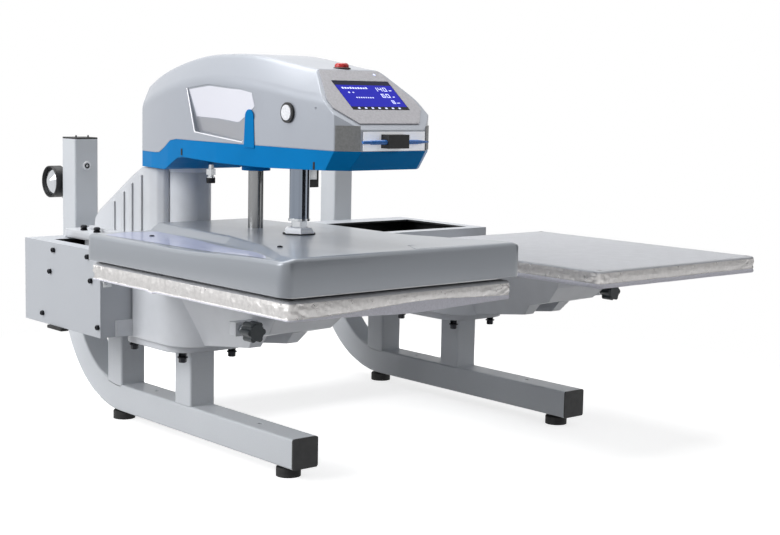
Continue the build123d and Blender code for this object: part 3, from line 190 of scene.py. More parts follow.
def rubber(name, colour):
    finish = Finish(name, colour, 0.75).soft_edges(0.8)
    return finish.grain(160, 0.2).uneven(70, 0.66, 0.84).relief(900, 0.1).material


def turned_metal(name, colour, roughness, stretch):
    finish = Finish(name, colour, roughness, {"Metallic": 1.0}).soft_edges(0.5).grain(120, 0.08, stretch)
    return finish.uneven(120, roughness * 0.7, roughness * 1.35, stretch).relief(240, 0.02, stretch).material


def lit_display(name, colour, strength):
    finish = Finish(name, colour, 0.12, {"Specular IOR Level": 0.12}).glow(colour, strength)
    return finish.grain(500, 0.08).uneven(60, 0.1, 0.14).relief(900, 0.01).material


def silver_cloth():
    finish = Finish("silver_cloth", (206, 204, 203), 0.3, {"Metallic": 0.82, "Sheen Weight": 0.15})
    finish.grain(160, 0.08).uneven(120, 0.26, 0.44).relief(40, 2.2, (1, 1, 0.3), detail=2)
    return finish.relief(150, 0.7, (1, 1, 0.4)).weave(0.8, 0.06).material


def pad_cloth():
    finish = Finish("pad_top_cloth", (192, 194, 199), 0.72, {"Sheen Weight": 0.2})
    return finish.grain(45, 0.04).uneven(30, 0.66, 0.78).relief(14, 0.5).weave(0.9, 0.12).material


def hem_cloth():
    finish = Finish("hem_elastic", (232, 232, 242), 0.6, {"Sheen Weight": 0.3})
    return finish.grain(400, 0.08).uneven(150, 0.5, 0.7).relief(420, 0.6, (1, 1, 0.2)).material


# Brush marks run along the small value.
ALONG_Z = (1, 1, 0.02)
ALONG_X = (0.02, 1, 1)

LEG_GREY = powder_coat("leg_paint", (203, 207, 212))
BEAM_GREY = powder_coat("beam_paint", (180, 184, 190))
INSIDE_BLACK = powder_coat("inside_black", (22, 23, 25))
CAST_GREY = casting_paint("casting_paint", (202, 205, 210))
WEB_GREY = casting_paint("web_paint", (202, 205, 210), 8)
BLACK_PLASTIC = moulded_plastic("black_plastic", (14, 15, 17))
KNOB_BLACK = moulded_plastic("knob_black", (20, 32, 38), 0.38)
WHITE_PLASTIC = moulded_plastic("white_plastic", (236, 238, 242), 0.3)
# The front plate's white also glows a little: painted light that keeps it bright on its shaded front.
PLATE_WHITE_GLOW = moulded_plastic("plate_white_painted_glow", (246, 247, 250), 0.3, ((240, 242, 248), 0.32))
BEZEL = moulded_plastic("bezel_plastic", (176, 175, 180), 0.45)
CORNER_GREY = moulded_plastic("corner_grey", (132, 133, 133), 0.55)
RED = moulded_plastic("red_button", (190, 20, 22), 0.2)
STYLUS_BLUE = moulded_plastic("stylus_blue", (40, 110, 190), 0.25)
BOARD_GREEN = moulded_plastic("board_green", (20, 84, 44), 0.4)
BLACK_RUBBER = rubber("black_rubber", (22, 22, 23))
FOAM = rubber("foam", (205, 120, 60))
# Black of the rod washer, also used as painted shade for the skirt notches.
WASHER_BLACK_AND_NOTCH_SHADE = rubber("washer_black_and_notch_shade", (14, 14, 15))
BLACK_STEEL = turned_metal("black_steel", (40, 41, 44), 0.42, (1, 1, 1))
RAIL_STEEL = turned_metal("rail_steel", (150, 154, 158), 0.3, ALONG_X)
CHROME = turned_metal("chrome", (205, 208, 212), 0.09, ALONG_Z)
DARK_CHROME = turned_metal("dark_chrome", (132, 140, 152), 0.1, ALONG_Z)
BRUSHED = turned_metal("brushed_rod", (140, 141, 142), 0.2, ALONG_Z)
ALLOY = turned_metal("machined_alloy", (196, 198, 200), 0.35, (0.05, 1, 1))
HEAD_SILVER = pearl_paint("head_silver", (164, 169, 178), 2.5)
COVER_SILVER = pearl_paint("cover_silver", (147, 152, 159), 1.5)
RECESS_GREY = pearl_paint("recess_grey", (158, 160, 166), 0.6)
# Near-white paint for the lip of the side hollows: a painted highlight along that edge.
LIP_HIGHLIGHT = pearl_paint("lip_painted_highlight", (240, 241, 245), 0.3)
PEARL = pearl_paint("pearl_panel", (226, 227, 236), 0.5)
SKIRT_BLUE = gloss_paint("skirt_blue", (0, 120, 186), 0.0, 0.05)
WHITE_PAINT = gloss_paint("white_paint", (232, 234, 238))
LAVENDER = gloss_paint("lavender_strip", (164, 170, 198))
DISPLAY_NAVY = lit_display("display_navy", (8, 10, 44), 0.2)
DISPLAY_BLUE = lit_display("display_blue", (4, 8, 158), 0.5)
DISPLAY_BLACK = lit_display("display_black", (6, 6, 14), 0.1)
DISPLAY_LIGHT = lit_display("display_light", (205, 210, 245), 0.8)
SILVER_CLOTH = silver_cloth()
PAD_CLOTH = pad_cloth()
HEM_CLOTH = hem_cloth()


# Mesh helpers
def add_object(name, data):
    thing = bpy.data.objects.new(name, data)
    bpy.context.scene.collection.objects.link(thing)
    return thing


def add_mesh(name, verts, faces):
    mesh = bpy.data.meshes.new(name)
    mesh.from_pydata([Vector(v) * MM for v in verts], [], faces)
    return mesh


def ride_on(piece, body):
    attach(piece, body)
    return piece


def make_piece(name, verts, faces, materials, body, sharp=35):
    """A mesh piece that rides on a body, smooth but for edges over the angle."""
    mesh = add_mesh(name, verts, faces)
    for material in materials:
        mesh.materials.append(material)
    mesh.validate()
    mesh.shade_smooth()
    mesh.set_sharp_from_angle(angle=math.radians(sharp))
    return ride_on(add_object(name, mesh), body)


def paint(mesh, material):
    """One material for a whole mesh."""
    mesh.materials.clear()
    mesh.materials.append(material)
    mesh.polygons.foreach_set("material_index", [0] * len(mesh.polygons))


def stack_faces(levels, count, base=0):
    """Faces between rings of vertices that lie on each other."""
    return [(low + i, low + (i + 1) % count, low + count + (i + 1) % count, low + count + i)
            for low in range(base, base + (levels - 1) * count, count) for i in range(count)]


def end_faces(levels, count, base=0):
    """Faces that close a stack of rings at its first and its last ring."""
    last = base + (levels - 1) * count
    return [tuple(range(base + count - 1, base - 1, -1)), tuple(range(last, last + count))]


def reach_share(shape, i, angle):
    """How far a level reaches: less at the flats of a hexagon and at every fourth place of a grip."""
    if shape == ["hex"]:
        return math.cos(math.pi / 6) / math.cos(angle % (math.pi / 3) - math.pi / 6)
    return 0.955 if shape and i % 4 == 0 else 1


def lathe(name, profile, places, axis, material, body, slot, segments=32, ring=False):
    """A profile of (radius, height) turned about an axis, once at each place.
    A third value in a level makes it a hexagon or a ribbed grip; a ring joins its last level to its first."""
    turn = Vector(UP).rotation_difference(Vector(axis).normalized()).to_matrix()
    levels = len(profile)
    verts = []
    faces = []
    for place in places:
        base = len(verts)
        for radius, height, *shape in profile:
            for i in range(segments):
                angle = math.tau * i / segments
                reach = radius * reach_share(shape, i, angle)
                spoke = Vector((reach * math.cos(angle), reach * math.sin(angle), height))
                verts.append(Vector(place) + turn @ spoke)
        faces += stack_faces(levels, segments, base)
        if ring:
            last = base + (levels - 1) * segments
            faces += [(last + i, last + (i + 1) % segments, base + (i + 1) % segments, base + i)
                      for i in range(segments)]
        else:
            faces += end_faces(levels, segments, base)
    return make_piece(name, verts, faces, [material], body)


def rounded_block(name, low, high, radius, material, body):
    """Box with rounded edges."""
    shape = bmesh.new()
    bmesh.ops.create_cube(shape, size=1)
    for vertex in shape.verts:
        vertex.co = [(low[i] + high[i]) / 2 + vertex.co[i] * (high[i] - low[i]) for i in range(3)]
    bmesh.ops.bevel(shape, geom=shape.edges[:], offset=radius, segments=3, affect="EDGES", profile=0.5)
    verts = [v.co.copy() for v in shape.verts]
    faces = [tuple(v.index for v in f.verts) for f in shape.faces]
    shape.free()
    return make_piece(name, verts, faces, [material], body)


def tube(name, points, radius, material, body, closed=False):
    """Round bead along points."""
    curve = bpy.data.curves.new(name, "CURVE")
    curve.dimensions = "3D"
    curve.bevel_depth = radius * MM
    curve.bevel_resolution = 3
    spline = curve.splines.new("POLY")
    spline.points.add(len(points) - 1)
    for point, place in zip(spline.points, points):
        point.co = (*(Vector(place) * MM), 1)
    spline.use_cyclic_u = closed
    curve.materials.append(material)
    return ride_on(add_object(name, curve), body)


def heading(quarters):
    """Direction after that many quarter turns from +X."""
    return Vector((math.cos(QUARTER * quarters), math.sin(QUARTER * quarters)))


def rounded_loop(width, depth, radius, step):
    """Points round a rectangle with rounded corners, about a step apart."""
    core_x = width / 2 - radius
    core_y = depth / 2 - radius
    bend_parts = max(4, round(QUARTER * radius / step))
    points = []
    for turn in range(4):
        corner = Vector((core_x * (1, -1, -1, 1)[turn], core_y * (1, 1, -1, -1)[turn]))
        points += [corner + radius * heading(turn + i / bend_parts) for i in range(bend_parts)]
        run = 2 * (core_x if turn in (0, 2) else core_y)
        start = corner + radius * heading(turn + 1)
        parts = max(2, round(run / step))
        points += [start + heading(turn + 2) * (run * i / parts) for i in range(parts)]
    return points


def outward(point, core_x, core_y):
    """Direction out of a rounded rectangle at a point on its edge."""
    nearest = Vector((max(-core_x, min(core_x, point.x)), max(-core_y, min(core_y, point.y))))
    away = point - nearest
    return away.normalized() if away.length > MM * MM else Vector((1, 0))


def subtract(piece, cutter):
    """Cuts one closed mesh out of another and deletes the cutter."""
    modifier = piece.modifiers.new("cut", "BOOLEAN")
    modifier.object = cutter
    modifier.operation = "DIFFERENCE"
    modifier.solver = "EXACT"
    bpy.context.view_layer.update()
    done = bpy.data.meshes.new_from_object(piece.evaluated_get(bpy.context.evaluated_depsgraph_get()))
    piece.modifiers.clear()
    piece.data = done
    bpy.data.objects.remove(cutter)


def between(table, value):
    """Value read off a table of pairs, on a straight line between them."""
    for (x0, y0), (x1, y1) in zip(table, table[1:]):
        if value <= x1:
            return y0 + (y1 - y0) * max(0.0, (value - x0) / (x1 - x0))
    return table[-1][1]


def smooth(value):
    share = max(0.0, min(1.0, value))
    return share * share * (3 - 2 * share)


def box(node):
    """Low and high corner of a CAD node."""
    return [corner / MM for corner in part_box(node)]


def centre(node):
    low, high = box(node)
    return (low + high) / 2


def cap_screw(name, places, axis, radius, height, body, slot="black_steel", material=BLACK_STEEL):
    """Button-head screws with a hexagon socket."""
    profile = [(1, 0), (1, 0.35), (0.93, 0.66), (0.76, 0.9), (0.56, 1), (0.5, 1, "hex"), (0.48, 0.35, "hex")]
    profile = [(radius * reach, height * rise, *shape) for reach, rise, *shape in profile]
    return lathe(name, profile, places, axis, material, body, slot, 24)


# Places taken from the frame
LEFT_X = centre("left_leg").x
RIGHT_X = centre("right_leg").x
STATIONS = {"left": LEFT_X, "right": RIGHT_X}
SIDES = ((-1, "left"), (1, "right"))


# Materials of the CAD nodes that stay as they are
NODE_FINISH = {
    LEG_GREY: "left_leg right_leg front_posts rear_posts upright_brackets",
    BEAM_GREY: "beam_tray beam_end_plates",
    CAST_GREY: "left_pedestal right_pedestal column",
    WEB_GREY: "gusset_casting",
    BLACK_PLASTIC: "leg_end_caps upright_caps stylus_clip button_rings rear_panel power_switch proximity_sensor "
                   "air_valve regulator_knob pressure_gauge",
    KNOB_BLACK: "left_clamp_knob right_clamp_knob",
    BLACK_RUBBER: "rubber_feet travel_bumpers",
    BLACK_STEEL: "beam_screws pedestal_bolts deck_bolts head_spine",
    INSIDE_BLACK: "rail_bed",
    RAIL_STEEL: "shuttle_rails bearing_blocks",
    ALLOY: "left_platen_plate right_platen_plate carriage_plate heat_platen air_cylinder regulator_body",
    FOAM: "left_pad_foam right_pad_foam",
    SKIRT_BLUE: "head_skirt guide_bush",
    HEAD_SILVER: "head_shell",
    BEZEL: "screen_bezel",
    CORNER_GREY: "corner_grilles",
    DISPLAY_NAVY: "touch_screen",
    PLATE_WHITE_GLOW: "front_plate",
    WHITE_PLASTIC: "left_start_button right_start_button",
    WHITE_PAINT: "column_ring rod_flange",
    RED: "stop_button",
    STYLUS_BLUE: "stylus",
    BOARD_GREEN: "control_board",
    CHROME: "stop_bolt",
    DARK_CHROME: "piston_rod",
    BRUSHED: "guide_rod",
    COVER_SILVER: "platen_cover",
}
for node_material, names in NODE_FINISH.items():
    for node_name in names.split():
        paint(nodes[node_name].data, node_material)


# Padded lower platens with fitted cloth covers
PAD_CORNER = 8
CLOTH_STEP = 3
CLOTH_SEEDS = {"left": 3.1, "right": 11.7}
WALL_STEPS = 10
TOP_RINGS = 14
CROWN = 0.5
# Each level is its distance in from the wall, its band, its share of that band, and how far folds may move it.
UNDER_LEVELS = [(26, "under", 2.2, 0.2), (14, "under", 1.2, 0.3), (6, "hem", -0.08, 0.4), (2.4, "hem", -0.04, 0.4),
                (0.4, "hem", 0.0, 0.6), (-0.5, "hem", 0.2, 0.7), (-0.2, "hem", 0.5, 0.7), (-0.5, "hem", 0.8, 0.7),
                (0.5, "hem", 1.0, 0.9)]
WALL_LEVELS = [(0.4 - 0.8 * math.sin(math.pi * i / WALL_STEPS), "wall", i / WALL_STEPS, 1.0)
               for i in range(1, WALL_STEPS + 1)]
RIM_LEVELS = [(0.9, "top", 1.8, 0.7), (2.2, "top", 3.2, 0.5), (4.4, "top", 3.9, 0.35), (9, "top", 4.0, 0.2),
              (16, "top", 4.0, 0.1)]
CLOTH_LEVELS = UNDER_LEVELS + WALL_LEVELS + RIM_LEVELS


def crease(place, scale):
    """Sharp-topped folds up to 1, at a place in metres."""
    return 1 - abs(noise.noise(place * scale)) * 2


def swell(value, middle, width):
    """Bell curve with its top at the middle."""
    return math.exp(-((value - middle) / width) ** 2)


def hem_edges(side, point, half_x, half_y):
    """Heights of the lower and upper edge of the elastic hem at a point of the loop, above its low end."""
    across = point.x / half_x
    if side == "left":
        front = smooth((-point.y / half_y - 0.9) / 0.08)
        left_wall = smooth((-across - 0.9) / 0.08)
        sag = swell(across, 0.1, 0.55)
        kink = 2.6 * swell(point.y / half_y, 0.32, 0.03)
        lower = 2.2 - front * 5.4 * sag - left_wall * kink
        upper = lower + 2.4 + front * (11.5 * sag + 3.4 * smooth((across + 0.7) / 1.2))
    else:
        lower = 1.2
        upper = 8.6
    wander = noise.noise(Vector((point.x * 19, point.y * 19, half_x)) * MM)
    return lower + 0.5 * wander, upper + 0.7 * wander


def level_height(band, value, lower, upper, wall_high):
    """Height of a level of the cloth in its band."""
    if band == "under":
        return lower + value
    if band == "hem":
        return lower + (upper - lower) * value
    if band == "wall":
        return upper + (wall_high - upper) * value
    return wall_high + value


def fold_shift(point, height, seed, core_x, core_y):
    """How far the folds and the puckers at the corners push the cloth out."""
    corner_gap = math.hypot(max(0, core_x - abs(point.x)), max(0, core_y - abs(point.y)))
    pucker = math.exp(-corner_gap / 30)
    slant = 1.1 * height * (1 if point.x * point.y > 0 else -1)
    spot = Vector((point.x + slant, point.y - slant, 0.3 * height)) * MM + Vector((seed, 0, 0))
    return spot, 0.34 * crease(spot, 42) + 0.22 * crease(spot, 130) + 2.6 * pucker * (crease(spot, 110) - 0.45)


def pad_cover(side):
    """Cloth cover drawn over the platen: taut matt top, wrinkled silver sides, gathered elastic hem."""
    node = f"{side}_pad_cover"
    low, high = box(node)
    middle = (low + high) / 2
    width = high.x - low.x
    depth = high.y - low.y
    core_x = width / 2 - PAD_CORNER
    core_y = depth / 2 - PAD_CORNER
    loop = rounded_loop(width, depth, PAD_CORNER, CLOTH_STEP)
    seed = CLOTH_SEEDS[side]
    wall_high = high.z - low.z - 4.0
    verts = []
    for inset, band, value, loose in CLOTH_LEVELS:
        for point in loop:
            lower, upper = hem_edges(side, point, width / 2, depth / 2)
            height = level_height(band, value, lower, upper, wall_high)
            spot, folds = fold_shift(point, height, seed, core_x, core_y)
            gather = 0.5 * crease(spot, 210) if band == "hem" else 0
            place = point + outward(point, core_x, core_y) * (loose * (folds + gather - 0.5) - inset)
            verts.append((middle.x + place.x, middle.y + place.y, low.z + height))
    # The top closes in by rings that shrink to the middle, with a slight crown.
    rim = CLOTH_LEVELS[-1][0]
    for ring in range(1, TOP_RINGS + 1):
        share = ring / (TOP_RINGS + 1)
        for point in loop:
            flat = (point - outward(point, core_x, core_y) * rim) * (1 - share)
            ripple = 0.18 * noise.noise(Vector((flat.x * 11 * MM + seed, flat.y * 11 * MM, 0)))
            height = high.z - 0.05 + CROWN * math.sin(share * QUARTER) + ripple
            verts.append((middle.x + flat.x, middle.y + flat.y, height))
    count = len(loop)
    faces = stack_faces(len(CLOTH_LEVELS) + TOP_RINGS, count)
    faces.append(tuple(range(len(verts) - count, len(verts))))
    piece = make_piece(f"{side}_cloth_cover", verts, faces, [HEM_CLOTH, SILVER_CLOTH, PAD_CLOTH], "frame",
                       sharp=80)
    hem_end = len(UNDER_LEVELS) - 1
    wall_end = hem_end + WALL_STEPS
    for polygon in piece.data.polygons:
        level = min(polygon.vertices) // count
        polygon.material_index = 0 if level < hem_end else 1 if level < wall_end else 2
    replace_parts(piece, node)


for station in STATIONS:
    pad_cover(station)


def grid_faces(rows, columns):
    """Faces of a sheet whose vertices lie row by row."""
    wide = columns + 1
    return [(a, a + 1, a + 1 + wide, a + wide)
            for row in range(rows) for a in range(row * wide, row * wide + columns)]


def grid_rim(rows, columns):
    """Vertices round the edge of such a sheet, in order."""
    wide = columns + 1
    last = rows * wide
    return [*range(wide), *(row * wide + columns for row in range(1, rows + 1)),
            *range(last + columns - 1, last - 1, -1), *(row * wide for row in range(rows - 1, 0, -1))]


# Cover of the heated platen
COVER_LOW, COVER_HIGH = box("platen_cover")
COVER_MIDDLE = (COVER_LOW + COVER_HIGH) / 2
COVER_ROUND = 6
COVER_CORNER = 16
COVER_SHEET = 3
COVER_INSIDE = 30
FOOT_BREAK = 1
ROUND_STEPS = 5
CORNER_ROWS = 5
STRAIGHT_ROWS = 120
# How many of the cover's columns lie on each shoulder, each slope and the raised middle.
COVER_COLUMNS = (10, 6, 40, 6, 10)
# How far along the cover from its back, and half the width of the raised middle there.
PLATEAU_HALF_WIDTHS = ((0.0, 94), (119, 104), (254, 118), (374, 150), (452, 182), (500, 204), (540, 212))
SLOPE_WIDTH = 15
SHOULDER_BACK = 384.5
SHOULDER_FRONT = 392.5


def spaced(stops, counts, index):
    """Place of one column when each stretch between stops has its own number of columns."""
    for start, end, share in zip(stops, stops[1:], counts):
        if index <= share:
            return start + (end - start) * index / share
        index -= share
    return stops[-1]


def cover_height(x, y):
    """Height of the cover's top: a low shoulder each side of a raised middle that widens to the front."""
    from_back = COVER_HIGH.y - y
    along = from_back / (COVER_HIGH.y - COVER_LOW.y)
    half = between(PLATEAU_HALF_WIDTHS, from_back)
    shoulder = SHOULDER_BACK + (SHOULDER_FRONT - SHOULDER_BACK) * smooth((along - 0.45) / 0.5)
    rise = max(0.0, min(1.0, (half + SLOPE_WIDTH - abs(x - COVER_MIDDLE.x)) / SLOPE_WIDTH))
    return shoulder + (COVER_HIGH.z - shoulder) * rise


def platen_cover():
    """Pressed sheet with rounded edges: its top, its walls and the inside of the walls."""
    size = COVER_HIGH - COVER_LOW
    core_x = size.x / 2 - COVER_CORNER
    core_y = size.y / 2 - COVER_CORNER
    bend = COVER_CORNER - COVER_ROUND
    rows = [-core_y - bend * math.cos(QUARTER * i / CORNER_ROWS) for i in range(CORNER_ROWS)]
    rows += [-core_y + 2 * core_y * i / STRAIGHT_ROWS for i in range(STRAIGHT_ROWS + 1)]
    rows += [core_y + bend * math.sin(QUARTER * (i + 1) / CORNER_ROWS) for i in range(CORNER_ROWS)]
    columns = sum(COVER_COLUMNS)
    verts = []
    for y in rows:
        beyond = max(0.0, abs(y) - core_y)
        half = core_x + math.sqrt(max(0.0, bend ** 2 - beyond ** 2))
        inner = min(between(PLATEAU_HALF_WIDTHS, size.y / 2 - y), half - 3)
        foot = min(inner + SLOPE_WIDTH, half - 1)
        stops = [-half, -foot, -inner, inner, foot, half]
        across = [spaced(stops, COVER_COLUMNS, i) for i in range(columns + 1)]
        verts += [Vector((x, y, cover_height(COVER_MIDDLE.x + x, COVER_MIDDLE.y + y))) for x in across]
    faces = grid_faces(len(rows) - 1, columns)
    rim = grid_rim(len(rows) - 1, columns)
    edge = [(verts[i].xy, verts[i].z, outward(verts[i].xy, core_x, core_y)) for i in rim]
    loops = []
    for step in range(1, ROUND_STEPS + 1):
        angle = QUARTER * step / ROUND_STEPS
        out = COVER_ROUND * math.sin(angle)
        drop = COVER_ROUND * (1 - math.cos(angle))
        loops.append([(*(place + way * out), top - drop) for place, top, way in edge])
    inside = COVER_ROUND - COVER_SHEET
    walls = ((COVER_ROUND, FOOT_BREAK), (COVER_ROUND - FOOT_BREAK, 0), (inside, 0), (inside, COVER_INSIDE))
    for out, height in walls:
        loops.append([(*(place + way * out), COVER_LOW.z + height) for place, top, way in edge])
    for loop in loops:
        below = list(range(len(verts), len(verts) + len(rim)))
        verts += loop
        faces += [(rim[i], rim[i - 1], below[i - 1], below[i]) for i in range(len(rim))]
        rim = below
    placed = [(x + COVER_MIDDLE.x, y + COVER_MIDDLE.y, z) for x, y, z in verts]
    piece = make_piece("platen_cover_pressing", placed, faces, [COVER_SILVER], "platen", sharp=50)
    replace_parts(piece, "platen_cover")


platen_cover()


# Marks and fittings on the cover
# The pale strip lies on the left shoulder: its outline seen from above.
STRIP_OUTLINE = ((-526, -26), (-475, -7), (-416, -24), (-443, -178), (-491, -417), (-537, -483), (-530, -388),
                 (-518, -236))
STRIP_ROWS = 90
STRIP_COLUMNS = 8
STRIP_LIFT = 0.35
SHOULDER_SCREWS = ((-472.7, -83.6), (-107.7, -371.1), (-453.6, -402.4))
FRONT_MARK = ((-274, -480), (-86, -475), (-100, -519), (-298, -524))


def strip_edges(y):
    """Leftmost and rightmost place of the strip at one distance y."""
    hits = []
    for (x0, y0), (x1, y1) in zip(STRIP_OUTLINE, STRIP_OUTLINE[1:] + STRIP_OUTLINE[:1]):
        if (y0 - y) * (y1 - y) <= 0 and y0 != y1:
            hits.append(x0 + (x1 - x0) * (y - y0) / (y1 - y0))
    return min(hits), max(hits)


def shoulder_strip():
    """Thin pale sheet that follows the shoulder of the cover and stays off its slope."""
    low_y = min(y for x, y in STRIP_OUTLINE) + 0.5
    high_y = max(y for x, y in STRIP_OUTLINE) - 0.5
    verts = []
    for row in range(STRIP_ROWS + 1):
        y = low_y + (high_y - low_y) * row / STRIP_ROWS
        left, right = strip_edges(y)
        limit = LEFT_X - between(PLATEAU_HALF_WIDTHS, COVER_HIGH.y - y) - SLOPE_WIDTH - 1.5
        right = max(left + 0.5, min(right, limit))
        across = [left + (right - left) * i / STRIP_COLUMNS for i in range(STRIP_COLUMNS + 1)]
        verts += [(x, y, cover_height(x, y) + STRIP_LIFT) for x in across]
    make_piece("shoulder_strip", verts, grid_faces(STRIP_ROWS, STRIP_COLUMNS), [LAVENDER], "platen")


def on_cover(outline):
    """Places just in the top of the cover."""
    return [(x, y, cover_height(x, y) - 0.2) for x, y in outline]


shoulder_strip()
cap_screw("shoulder_screws", on_cover(SHOULDER_SCREWS), UP, 4.2, 2.4, "platen")
tube("front_emboss", on_cover(FRONT_MARK), 0.7, COVER_SILVER, "platen", closed=True)


# Skin of the head
# Place along y, half width, shoulder height, half width of the top and top height.
HEAD_KNOTS = (
    (-560, 91, 598, 61, 640),
    (-376, 91, 617, 61, 655),
    (-230, 91, 635, 61, 675.5),
    (-160, 90, 638, 60, 678),
    (-80, 86, 634, 58, 675),
    (0, 79, 622, 54, 662),
    (66, 70, 606, 49, 645),
    (112, 61, 590, 44, 627),
)
HEAD_FRONT = -486
HEAD_REAR = 110
HEAD_LOW = 500
HEAD_STEPS = 64
HEAD_EDGE = 9
EDGE_STEPS = 5
TOP_HALF = 61
SKIN = 9.5
# How much of the inset the slanted faces of the head take.
SHOULDER_SHARE = 0.6
TOP_SHARE = 0.4
# Cutters reach this far to each side of the head's middle.
CUT_REACH = 200
PANEL_TOP = Vector((-376, 654.5))
PANEL_FOOT = Vector((-480, 572.7))
CORNER_RUN = Vector((30, 27))
SPLIT_LINE = ((-620, 537), (-30, 538), (-8, 535), (14, 522.5), (34, 513.5), (50, 512.5), (220, 512.5))
REAR_WINDOW = ((60, 528), (140, 528), (140, 590), (60, 590))
WINDOW_HALF = 38
SCREEN_HOLE = ((-50, 28), (60.5, 28), (60.5, 96), (-50, 96))
BUTTON_PLACE = (-350.5, 589.5)
BUTTON_HOLE = 13.6
STOP_PLACE = -362
STOP_HOLE = 11.4


def head_at(y):
    """Half width, shoulder height, half width of the top and top height at y, smooth between the knots."""
    last = len(HEAD_KNOTS) - 1
    index = max([i for i in range(last) if HEAD_KNOTS[i][0] <= y] or [0])
    here, there = HEAD_KNOTS[index:index + 2]
    span = there[0] - here[0]
    t = max(0.0, min(1.0, (y - here[0]) / span))

    def slope(knot, column):
        before = HEAD_KNOTS[max(0, knot - 1)]
        after = HEAD_KNOTS[min(last, knot + 1)]
        return (after[column] - before[column]) / (after[0] - before[0]) * span

    return [(2 * t ** 3 - 3 * t ** 2 + 1) * here[column] + (t ** 3 - 2 * t ** 2 + t) * slope(index, column)
            + (3 * t ** 2 - 2 * t ** 3) * there[column] + (t ** 3 - t ** 2) * slope(index + 1, column)
            for column in range(1, 5)]


def round_corner(before, corner, after):
    """Points of a small arc in place of a corner."""
    start = corner + (before - corner).normalized() * HEAD_EDGE
    end = corner + (after - corner).normalized() * HEAD_EDGE
    shares = [i / EDGE_STEPS for i in range(EDGE_STEPS + 1)]
    return [start * (1 - t) ** 2 + corner * 2 * t * (1 - t) + end * t * t for t in shares]


def closed_solid(name, verts, faces):
    """Closed mesh with its faces turned outward."""
    mesh = add_mesh(name, verts, faces)
    shape = bmesh.new()
    shape.from_mesh(mesh)
    bmesh.ops.recalc_face_normals(shape, faces=shape.faces)
    shape.to_mesh(mesh)
    shape.free()
    return add_object(name, mesh)


def stacked_solid(name, rings):
    """Closed mesh through rings of the same number of points."""
    count = len(rings[0])
    faces = stack_faces(len(rings), count) + end_faces(len(rings), count)
    return closed_solid(name, [v for ring in rings for v in ring], faces)


def side_prism(name, outline, x0, x1):
    return stacked_solid(name, [[(x, y, z) for y, z in outline] for x in (x0, x1)])


def plan_prism(name, outline, z0, z1):
    return stacked_solid(name, [[(x, y, z) for x, y in outline] for z in (z0, z1)])


def circle(middle, radius, count=40):
    angles = [math.tau * i / count for i in range(count)]
    return [(middle[0] + radius * math.cos(a), middle[1] + radius * math.sin(a)) for a in angles]


def head_solid(name, inset):
    """The head's outer form, or its hollow when inset by the thickness of the skin."""
    sections = []
    front = HEAD_FRONT + inset
    rear = HEAD_REAR - inset
    for step in range(HEAD_STEPS + 1):
        y = front + (rear - front) * step / HEAD_STEPS
        half, shoulder, top_half, top = head_at(y)
        top -= inset
        low_corner = Vector((half - inset, HEAD_LOW))
        side_corner = Vector((half - inset, shoulder - inset * SHOULDER_SHARE))
        top_corner = Vector((top_half - inset * TOP_SHARE, top))
        right = [low_corner] + round_corner(low_corner, side_corner, top_corner)
        right += round_corner(side_corner, top_corner, Vector((0, top)))
        left = [Vector((-p.x, p.y)) for p in reversed(right)]
        sections.append([(LEFT_X + p.x, y, p.y) for p in right + left])
    solid = stacked_solid(name, sections)
    # The sloping panel is cut off above, and so are both front corners.
    run = PANEL_TOP - PANEL_FOOT
    drop = Vector((0, inset * run.length / run.x))
    low_end = PANEL_FOOT - run - drop
    high_end = PANEL_TOP + run - drop
    wedge = [low_end, high_end, high_end + Vector((0, 200)), low_end + Vector((-60, 400)), low_end + Vector((-60, 0))]
    subtract(solid, side_prism("wedge", wedge, LEFT_X - CUT_REACH, LEFT_X + CUT_REACH))
    near = Vector((TOP_HALF - inset * TOP_SHARE, HEAD_FRONT + inset))
    far = near + CORNER_RUN * 2.4
    back = near - CORNER_RUN * 0.6
    side_end = far.x + 40
    front_end = back.y - 60
    corner = [near, far, (side_end, far.y), (side_end, front_end), (back.x, front_end), back]
    for way, word in SIDES:
        subtract(solid, plan_prism("corner", [(LEFT_X + way * x, y) for x, y in corner], HEAD_LOW - 50, 760))
    return solid


# Hollow in the head's side: its lower and upper edge by share of its length, as (share, y) and (share, z).
RECESS_LOWER = (((0, -93), (0.6, -232), (0.8, -262), (1, -284)), ((0, 552), (0.6, 541), (0.8, 574), (1, 611)))
RECESS_UPPER = (((0, -67), (0.35, -136), (0.7, -226), (1, -284)), ((0, 622), (0.35, 629), (0.7, 623.5), (1, 613.5)))
RECESS_DEPTH_LOW = 8.6
RECESS_DEPTH_HIGH = 1.2
RECESS_COLUMNS = 30
RECESS_ROWS = 8
PANEL_EDGE = 0.36
LIP_END = 0.62
LIP_UP_STEPS = 14
LIP_ALONG_STEPS = 30


def recess_point(along, up):
    """Place in the hollow and how deep its floor is there."""
    lower, upper = [Vector([between(table, along) for table in edge]) for edge in (RECESS_LOWER, RECESS_UPPER)]
    fade = (1 - smooth(along)) * 0.85 + 0.15 * (1 - along)
    return lower.lerp(upper, up), (RECESS_DEPTH_LOW + (RECESS_DEPTH_HIGH - RECESS_DEPTH_LOW) * up) * fade


def recess_sheet(way, ups, alongs, offsets):
    """Vertices and faces of a closed slab along the hollow's floor, between two distances out from the floor."""
    verts = []
    for offset in offsets:
        for column in range(RECESS_COLUMNS + 1):
            along = alongs[0] + (alongs[1] - alongs[0]) * column / RECESS_COLUMNS
            for row in range(RECESS_ROWS + 1):
                spot, depth = recess_point(along, ups[0] + (ups[1] - ups[0]) * row / RECESS_ROWS)
                verts.append((LEFT_X + way * (head_at(spot.x)[0] - depth + offset), spot.x, spot.y))
    layer = len(verts) // 2
    sheet = grid_faces(RECESS_COLUMNS, RECESS_ROWS)
    rim = grid_rim(RECESS_COLUMNS, RECESS_ROWS)
    faces = sheet + [(a + layer, d + layer, c + layer, b + layer) for a, b, c, d in sheet]
    faces += [(a, a + layer, b + layer, b) for a, b in zip(rim, rim[1:] + rim[:1])]
    return verts, faces


